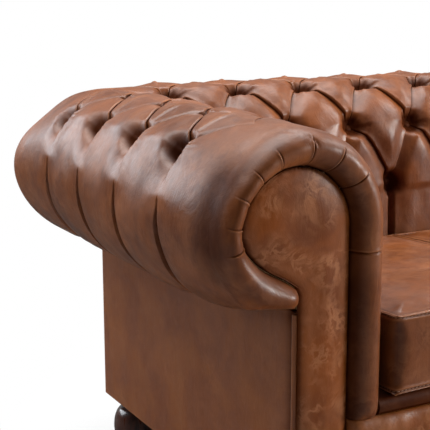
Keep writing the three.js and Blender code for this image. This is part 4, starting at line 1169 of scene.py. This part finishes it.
def cushionForm(inset=0.0, cols=64, rows=84):
    # top, underside and wall loops of a cushion about X = 0: a crowned box that draws in between
    # its corners, before its seams
    v, u = cushionGrid(rows, cols)
    half = cushion["width"] / 2 - inset
    front, rear = cushion["front"] + inset, cushion["rear"] - inset
    frontDraw = np.where(v < 0, cushion["draw"] * (1 - u ** 2), 0)
    x = (half - cushion["draw"] * (1 - v ** 2) * np.abs(u)) * u
    along = (front + rear) / 2 + ((rear - front) / 2 - frontDraw * np.abs(v)) * v
    base = deckTop(along) - seat["sink"] + 0.0006 + inset
    thick = cushion["thickness"] - 2 * inset
    dome = (1 - u ** 4) * (1 - v ** 4)
    top = np.stack([x, roll["front"] + along, base + thick + cushion["crown"] * dome], -1)
    under = np.stack([x, roll["front"] + along, base + 0.0006 * dome], -1)
    rim = rimOf(rows, cols)
    edge = np.stack([x, roll["front"] + along, base], -1).reshape(-1, 3)[rim]
    away, _ = rimAway(u, v)
    ends = np.abs(edge[:, :2] - (0, roll["front"] + (front + rear) / 2))
    reach = np.array([half, (rear - front) / 2]) - ends  # to the side walls, and to front or rear
    onSide = np.abs(u).reshape(-1)[rim] > 0.9999
    run = np.where(onSide, reach[:, 1], reach[:, 0])
    bands = []
    for share in cushion["shares"]:
        point = edge.copy()
        full = np.sin(np.pi * share) ** 0.6
        # the corner's round: run r (1 - t) of each wall turns through 45 degrees
        low, high = cushion["corner"]
        r = low + (high - low) * full
        t = (1 - np.clip(run / r, 0, 1)) * np.pi / 4
        turnedIn = np.stack([r * (1 - np.cos(t)), np.where(run < r, r * (1 - np.sin(t)) - run, 0)], -1)
        turnedIn = np.where(onSide[:, None], turnedIn, turnedIn[:, ::-1])
        point[:, :2] -= np.sign(edge[:, :2] - (0, roll["front"] + (front + rear) / 2)) * turnedIn
        point[:, :2] += away * cushion["bulge"] * full
        point[:, 1] = np.minimum(point[:, 1], roll["front"] + rear - 0.0002)  # flat for the zip
        point[:, 2] += share * thick
        bands.append(point)
    return top, under, bands


def rimAway(u, v):
    # outward directions round the border, and how close each place is to an upright corner
    uv = np.stack([u, v], -1).reshape(-1, 2)[rimOf(*u.shape)]
    away = np.sign(uv) * np.abs(uv) ** 8
    away = away / np.maximum(np.linalg.norm(away, axis=-1, keepdims=True), 1e-9)
    return away, (np.abs(uv[:, 0] * uv[:, 1])) ** 9


def meshObject(name, points, faces):
    mesh = bpy.data.meshes.new(name)
    mesh.from_pydata(np.asarray(points).tolist(), [], faces)
    made = bpy.data.objects.new(name, mesh)
    scene.collection.objects.link(made)
    return made


def pointsOf(piece, what="co"):
    shown = piece.evaluated_get(bpy.context.evaluated_depsgraph_get()).to_mesh()
    found = np.empty(len(shown.vertices) * 3)
    shown.vertices.foreach_get(what, found)
    return found.reshape(-1, 3)


pad = {
    "inset": 0.006,
    "voxel": 0.006,
    "pressure": 4.0,
    "frames": 20,
    "farthest": 0.012,
    "share": 0.8,
    "limits": (-0.0025, 0.008),
}


def swollen(top, under, bands):
    # a slightly smaller copy is blown up as cloth, and the form moves along its own normals
    # most of the way to it, within limits
    small = meshObject("padForm", *shell(*cushionForm(pad["inset"])))
    remesh = small.modifiers.new("voxels", "REMESH")
    remesh.mode, remesh.voxel_size = "VOXEL", pad["voxel"]
    graph = bpy.context.evaluated_depsgraph_get()
    blown = bpy.data.objects.new("padCloth", bpy.data.meshes.new_from_object(small.evaluated_get(graph)))
    scene.collection.objects.link(blown)
    start = pointsOf(blown)
    cloth = blown.modifiers.new("air", "CLOTH")
    cloth.settings.use_pressure = True
    cloth.settings.uniform_pressure_force = pad["pressure"]
    cloth.settings.effector_weights.gravity = 0
    cloth.settings.quality = 6
    cloth.settings.tension_stiffness = 30
    cloth.settings.bending_stiffness = 2
    for frameNumber in range(1, pad["frames"] + 1):
        scene.frame_set(frameNumber)
    moved = pointsOf(blown) - start
    length = np.linalg.norm(moved, axis=1, keepdims=True)
    moved *= np.minimum(1, pad["farthest"] / np.maximum(length, 1e-9))
    blown.modifiers.clear()
    blown.data.vertices.foreach_set("co", (start + moved).ravel())
    scene.frame_set(1)
    laid = meshObject("padLaid", *shell(top, under, bands))
    wrap = laid.modifiers.new("onto", "SHRINKWRAP")
    wrap.target, wrap.wrap_method = blown, "NEAREST_SURFACEPOINT"
    plain = meshObject("padPlain", *shell(top, under, bands))
    form, away, found = pointsOf(plain), pointsOf(plain, "normal"), pointsOf(laid)
    for name in ("padForm", "padCloth", "padLaid", "padPlain"):
        bpy.data.objects.remove(bpy.data.objects[name])
    swell = np.sum((found - form) * away, axis=1, keepdims=True)
    points = form + away * np.clip(pad["share"] * swell, *pad["limits"])
    limit = cushion["pitch"] / 2 - 0.0004
    points[:, 0] = np.clip(points[:, 0], -limit, limit)
    points[:, 1] = np.clip(points[:, 1], roll["front"] + cushion["front"] - 0.004,
                           roll["front"] + cushion["rear"] - 0.0002)
    floor = deckTop(points[:, 1] - roll["front"]) - seat["sink"] + 0.0006
    points[:, 2] = np.maximum(points[:, 2], floor)
    count = top.shape[0] * top.shape[1]
    loops = [points[2 * count + i * len(b):2 * count + (i + 1) * len(b)] for i, b in enumerate(bands)]
    return points[:count].reshape(top.shape), points[count:2 * count].reshape(top.shape), loops


def seamed(top, under, bands):
    # a folded, top-stitched seam round the upper and lower edge: a proud double ridge with a pointed
    # corner, a groove beside it, and the marks for their tone, with painted shade in the grooves, on the
    # walls and underneath
    rows, cols = top.shape[:2]
    v, u = cushionGrid(rows, cols)
    away, corner = rimAway(u, v)
    gap = np.minimum((1 - np.abs(u)) * cushion["width"] / 2, (1 - np.abs(v)) * 0.305)
    top = top.copy()
    ridge, groove = bump(gap - 0.0028, 0.0026), bump(gap - 0.0095, 0.0024)
    top[..., 2] += cushion["seam"] * ridge - 0.0014 * groove
    # painted shade in the top's groove, and painted shade over the whole underside
    crest, creaseAndShade = [ridge, 0 * gap], [0.5 * groove, 0 * gap + 0.8]
    loops = []
    for share, loop in zip(cushion["shares"], bands):
        fold = min(share, 1 - share) * cushion["thickness"]
        lift = (0.0028 * bump(fold - 0.0014, 0.0022) - 0.0014 * bump(fold - 0.0048, 0.0014)
                + 0.0020 * bump(fold - 0.0080, 0.0024))
        lift = lift + 0.0030 * corner * bump(fold, 0.006)
        loop = loop.copy()
        loop[:, :2] += away * np.reshape(lift, (-1, 1))
        loops.append(loop)
        crest.append(0.9 * bump(fold - 0.0014, 0.0022) + 0.6 * bump(fold - 0.0080, 0.0020) + 0 * corner)
        # painted shade: the walls between the seams are painted darker, most near the upright corners
        wearAndShading = (0.25 + 0.3 * corner) * np.sin(np.pi * share) ** 0.5
        wearAndShading = wearAndShading * smooth(fold, 0.008, 0.014)
        creaseAndShade.append(np.clip(0.9 * bump(fold - 0.0048, 0.0015) + wearAndShading, 0, 1))
    flat = [np.concatenate([k.ravel() for k in m]) for m in (creaseAndShade, crest)]
    return top, under, loops, {"creaseAndShade": flat[0], "crest": flat[1]}


def stitchesOn(path):
    # short thread capsules end to end along a closed path, each a little sunk at both ends
    path = np.concatenate([path, path[:1]])
    run = np.concatenate([[0], np.cumsum(np.linalg.norm(np.diff(path, axis=0), axis=1))])
    count = int(run[-1] / cushion["stitch"])
    at = (np.arange(count) + 0.5) * run[-1] / count
    where = lambda d: np.stack([np.interp((at + d) % run[-1], run, path[:, i]) for i in range(3)], -1)
    middle, ahead = where(0), where(0.0015) - where(-0.0015)
    ahead /= np.linalg.norm(ahead, axis=1, keepdims=True)
    up = np.cross(np.array([0, 0, 1.0]), ahead)
    other = np.cross(ahead, up)
    turn = np.linspace(0, 2 * np.pi, 6, endpoint=False)
    lengths = np.array([-0.0028, -0.0022, 0, 0.0022, 0.0028])
    radii = np.array([0.0001, 0.0008, 0.0011, 0.0008, 0.0001])
    spot = (middle[:, None, None] + ahead[:, None, None] * lengths[:, None, None]
            + radii[:, None, None] * (np.cos(turn)[:, None] * up[:, None, None]
                                      + np.sin(turn)[:, None] * other[:, None, None]))
    return together([tube(rings) for rings in spot])


def addCushions():
    form = cushionForm()
    form = swollen(*form)
    top, under, loops, marks = seamed(*form)
    stitches = together([stitchesOn(loops[3]), stitchesOn(loops[-4])])
    core = shell(*cushionForm(cushion["wall"] + 0.0004, 30, 36))
    for i in range(cushion["count"]):
        middle = np.array([cushionMiddle(i), 0, 0])
        number, body = i + 1, f"cushion_{i + 1}"
        points, faces = shell(top, under, loops)
        piece = addPiece(f"seatCushion_{number}", (points + middle, faces), cushionLeather,
                         [f"cushion_cover_{number}"], body, sharp=0, marks=marks)
        fine = piece.modifiers.new("fine", "SUBSURF")
        fine.levels = fine.render_levels = 1
        addPiece(f"cushionStitches_{number}", (stitches[0] + middle, stitches[1]), threadCord,
                 (), body, sharp=0)
        inside = addPiece(f"cushionFoam_{number}", (core[0] + middle, core[1]), foam,
                          [f"cushion_core_{number}"], body)


addCushions()
print("cushions made")

# zips in the rear walls of the cushions
zipper = {"length": 0.3807, "startX": -0.1903, "rear": 0.5800, "up": 0.3748, "tooth": 0.0026}


def boxes(middles, size):
    # plain small boxes, all of one size
    corners = np.array([[x, y, z] for z in (-1, 1) for x, y in ((-1, -1), (1, -1), (1, 1), (-1, 1))]) / 2
    walls = [[0, 3, 2, 1], [4, 5, 6, 7], [0, 1, 5, 4], [1, 2, 6, 5], [2, 3, 7, 6], [3, 0, 4, 7]]
    return together([(corners * size + m, walls) for m in middles])


def outlineXZ(points, y):
    points = np.array(points, float)
    return np.stack([points[:, 0], np.full(len(points), y), points[:, 1]], -1)


def rounded(width, height, radius, steps=5):
    # a rectangle's outline with round corners
    turn = np.concatenate([np.linspace(a, a + np.pi / 2, steps) for a in np.arange(4) * np.pi / 2])
    x = np.cos(turn) * radius + np.sign(np.cos(turn + 1e-6)) * (width / 2 - radius)
    z = np.sin(turn) * radius + np.sign(np.sin(turn + 1e-6)) * (height / 2 - radius)
    return np.stack([x, z], -1)


def plate(outline, middle, y0, y1, bevel=0.0003):
    # an outline pushed from y0 to y1 with softened edges
    small = outline * (1 - bevel / np.abs(outline).max())
    rings = [outlineXZ(o + middle, y) for o, y in
             ((small, y0), (outline, y0 + bevel), (outline, y1 - bevel), (small, y1))]
    return tube(np.stack(rings))


def addZips():
    for i in range(cushion["count"]):
        number, body = i + 1, f"cushion_{i + 1}"
        middleX = cushionMiddle(i)
        at = roll["front"] + zipper["rear"]
        x = np.linspace(0.001, zipper["length"] - 0.001, 120) + middleX + zipper["startX"]
        tapes = []
        for side in (1, -1):
            z = zipper["up"] + side * np.linspace(0.0013, 0.0105, 8)
            z, xs = np.meshgrid(z, x, indexing="ij")
            wave = 0.0002 * np.sin(xs * 210 + side)
            tapes.append(shell(*(np.stack([xs, at + y + wave, z], -1) for y in (0.0003, -0.0008))))
        addPiece(f"zipTape_{number}", together(tapes), zipTape,
                 [f"cushion_zip_{number}"], body)
        teeth = np.arange(x[0] + 0.002, x[-1] - 0.002, zipper["tooth"] / 2)
        lean = np.where(np.arange(len(teeth)) % 2, 0.0005, -0.0005)
        middles = np.stack([teeth, np.full(len(teeth), at + 0.0010), zipper["up"] + lean], -1)
        addPiece(f"zipTeeth_{number}", boxes(middles, (0.0010, 0.0014, 0.0030)), brass, (),
                 body)
        # the slider: two faced plates joined by a bridge, and a tab with a hole on it
        sliderX = middleX + zipper["startX"] + 0.010
        middle = np.array([sliderX, zipper["up"]])
        shield = np.array([(-0.006, 0.0024), (-0.0052, 0.0032), (0.001, 0.0045), (0.0052, 0.0045),
                           (0.006, 0.0037), (0.006, -0.0037), (0.0052, -0.0045), (0.001, -0.0045),
                           (-0.0052, -0.0032), (-0.006, -0.0024)])
        bridge = plate(rounded(0.0070, 0.0022, 0.0009), middle + (0.0005, 0), at + 0.0030, at + 0.0052)
        tabHole, tab = rounded(0.0046, 0.0050, 0.0014), rounded(0.0068, 0.0230, 0.0026)
        hang = middle + (0.0005, -0.0095)
        holeAt = hang + (0, 0.0080)
        outer, hole, low, high = tab + hang, tabHole + holeAt, at + 0.0036, at + 0.0046
        rings = np.stack([outlineXZ(*ring) for ring in (
            (outer, low), (outer, high), (hole, high), (hole, low), (outer, low))])
        faced = plate(shield, middle, at + 0.0021, at + 0.0031)
        addPiece(f"zipSlider_{number}", together([faced, bridge, tube(rings, caps=False)]), brass,
                 [f"zip_slider_{number}"], f"slider_{number}", sharp=35)


addZips()

web = {
    "width": 0.050,
    "reachX": 0.8327,
    "front": -0.4217,
    "rear": 0.2957,
    "up": 0.2693,
    "lastX": 0.653,
    "runs": (10, 5),  # straps from front to rear, and from side to side
    "alongs": (-0.3577, 0.2037),
}


def addWebbing():
    # straps that pass over and under each other by turns
    straps, area = [], 0
    xs = np.linspace(-web["lastX"], web["lastX"], web["runs"][0])
    ys = np.linspace(*web["alongs"], web["runs"][1])
    for lies, at, crossings, start, end in (
            *((0, x, ys, web["front"], web["rear"]) for x in xs),
            *((1, y, xs, -web["reachX"], web["reachX"]) for y in ys)):
        run = np.linspace(start, end, 130)
        number = int(np.argmin(np.abs((ys if lies else xs) - at)))
        phase = np.interp(run, crossings, np.arange(len(crossings)))
        wave = 0.0006 * np.cos(np.pi * (phase + number + lies))
        across, run = np.meshgrid(np.linspace(-0.5, 0.5, 7) * web["width"] + at, run, indexing="ij")
        pair = (run, across) if lies else (across, run)
        layers = [np.stack([*pair, web["up"] + wave + lift + 0 * across], -1)
                  for lift in (0.0005, -0.0005)]
        straps.append(shell(*layers))
        area += web["width"] * (end - start)
    piece = addPiece("seatWebbing", together(straps), jute, ["seat_webbing"])


dust = {"halfX": 0.8465, "front": -0.4355, "rear": 0.3095, "up": 0.1168, "sag": 0.0030}


def addDustCover():
    # thin black cloth stapled under the rails, hanging a little slack between them
    x, y = np.meshgrid(np.linspace(-dust["halfX"], dust["halfX"], 130),
                       np.linspace(dust["front"], dust["rear"], 70), indexing="ij")
    inside = (smooth(dust["halfX"] - np.abs(x), 0.02, 0.35)
              * smooth(np.minimum(y - dust["front"], dust["rear"] - y), 0.02, 0.22))
    waves = np.sin(19 * x + 3 * y) * np.sin(13 * y + 1) * smooth(inside, 0, 0.4)
    top = np.stack([x, y, dust["up"] - (dust["sag"] * inside + 0.0004 * waves)], -1)
    piece = addPiece("dustCover", shell(top, top - (0, 0, 0.0008)), blackCloth,
                     ["dust_cover"])


addWebbing()
addDustCover()
print("seat made")

foot = {"inset": 0.055, "alongs": {"front": 0.055, "rear": 0.705}, "top": 0.1152}


def addFeet():
    bun = [(0.031 + 0.0215 * np.sin(t) ** 0.9, 0.054 - 0.041 * np.cos(t))
           for t in np.linspace(0.12, np.pi - 0.12, 26)]
    profile = [(0, 0), (0.0285, 0), (0.0305, 0.002), (0.031, 0.010), *bun, (0.0285, 0.0955),
               (0.027, 0.098), (0.0275, 0.1012), (0.030, 0.1042), (0.0350, 0.1056),
               (0.0362, 0.1085), (0.0350, 0.1126), (0.034, foot["top"]), (0, foot["top"])]
    for name, side in sides.items():
        for end, along in foot["alongs"].items():
            middle = (side * (roll["armLine"] - foot["inset"]), roll["front"] + along, 0)
            addPiece(f"bunFoot_{end}_{name}", turned(profile, 64, middle), darkWood,
                     [f"foot_{end}_{name}"], sharp=30)


addFeet()


def dress():
    # the frame's timbers and the bolts keep their solids and get their finishes
    finishes = {}
    for name in nodes:
        if name.endswith(("_rail", "_left", "_right")) and "rail" in name:
            finishes[name] = timberX
        if name.startswith(("arm_top_rail", "arm_outer_rail", "side_rail", "stretcher")):
            finishes[name] = timberY
        if "former" in name or "corner" in name:
            finishes[name] = timberZ
        if name.startswith("foot_bolt"):
            finishes[name] = steel
    for name, finish in finishes.items():
        for place in nodes[name].material_slots:
            place.material = finish


dress()

studio = {
    "surround": 0.05,
    "glow": 0.02,  # the dim room before the sofa, as gloss mirrors it
    "backdrop": 0.34,
    "behind": (0.47, 0.88, 0.0),  # the way from the camera to the backdrop
    "floorHalf": 9,
    "lamps": {
        # place, aim, width, height, watts, tint
        "left": ((-2.4, 2.3, 1.8), (-1.1, -0.1, 0.45), 2.4, 1.7, 64, (0.88, 0.94, 1.0)),
        "top": ((-0.9, 0.75, 3.0), (-0.8, 0.45, 0.5), 3.6, 1.7, 142, (1, 1, 1)),
        "right": ((1.8, -0.3, 2.5), (0.1, 0.3, 0.65), 1.3, 0.9, 42, (1, 0.98, 0.96)),
        "front": ((2.9, -2.5, 1.6), (-0.5, -0.2, 0.45), 1.2, 1.2, 165, (1, 0.98, 0.95)),
    },
}


def addFloor():
    made, tree, surface = newMaterial("paleFloor", **{"Roughness": 0.9})
    out = next(n for n in tree.nodes if n.type == "OUTPUT_MATERIAL")
    white = addNode(tree, "Emission", {"Color": (1, 1, 1, 1), "Strength": 1.0})
    paths = addNode(tree, "LightPath")
    place = addNode(tree, "VectorMath", {0: objectPlace(tree)}, operation="LENGTH").outputs["Value"]
    # gloss sees only a dark floor, so the leather keeps its depth
    tone = blendColours(tree, paths.outputs["Is Glossy Ray"], (0.75, 0.75, 0.75, 1),
                        (0.04, 0.04, 0.04, 1))
    tree.links.new(tone, surface.inputs["Base Color"])
    share = times(tree, paths.outputs["Is Camera Ray"], ramp(tree, place, 0.85, 1.15, 0.75, 1.0))
    mixed = addNode(tree, "MixShader", {0: share, 1: surface.outputs[0], 2: white.outputs[0]})
    tree.links.new(mixed.outputs[0], out.inputs["Surface"])
    mesh = bpy.data.meshes.new("floor")
    corners = [(x * studio["floorHalf"], y * studio["floorHalf"], 0)
               for x, y in ((-1, -1), (1, -1), (1, 1), (-1, 1))]
    mesh.from_pydata(corners, [], [(0, 1, 2, 3)])
    mesh.materials.append(made)
    floor = bpy.data.objects.new("floor", mesh)
    scene.collection.objects.link(floor)


def addWorld():
    world = bpy.data.worlds.new("studio")
    world.use_nodes = True
    tree = world.node_tree
    tree.nodes.clear()
    out = tree.nodes.new("ShaderNodeOutputWorld")
    paths = addNode(tree, "LightPath")
    seen = reckon(tree, "MAXIMUM", paths.outputs["Is Camera Ray"],
                  reckon(tree, "MAXIMUM", paths.outputs["Is Glossy Ray"],
                         paths.outputs["Is Transmission Ray"]))
    # the white backdrop stands behind the sofa, and gloss mirrors it there
    around = addNode(tree, "TexCoord").outputs["Generated"]
    towards = addNode(tree, "VectorMath", {0: around, 1: studio["behind"]},
                      operation="DOT_PRODUCT").outputs["Value"]
    backdrop = ramp(tree, towards, 0.2, 0.9, studio["glow"], studio["backdrop"])
    backdrop = reckon(tree, "MAXIMUM", backdrop, paths.outputs["Is Camera Ray"])
    grey = addNode(tree, "Background", {"Color": (1, 1, 1, 1), "Strength": studio["surround"]})
    white = addNode(tree, "Background", {"Color": (1, 1, 1, 1), "Strength": backdrop})
    mixed = addNode(tree, "MixShader", {0: seen, 1: grey.outputs[0], 2: white.outputs[0]})
    tree.links.new(mixed.outputs[0], out.inputs["Surface"])
    scene.world = world


def addLamps():
    for name, (place, aim, width, height, watts, tint) in studio["lamps"].items():
        data = bpy.data.lights.new(name, "AREA")
        data.shape, data.size, data.size_y, data.energy = "RECTANGLE", width, height, watts
        data.color = tint
        ahead = np.array(aim, float) - np.array(place, float)
        ahead /= np.linalg.norm(ahead)
        across = np.cross(ahead, [0, 0, 1.0]) if abs(ahead[2]) < 0.95 else np.array([1.0, 0, 0])
        across /= np.linalg.norm(across)
        stand(bpy.data.objects.new(name, data), across, ahead, place)


addFloor()
addWorld()
addLamps()
print("studio made")
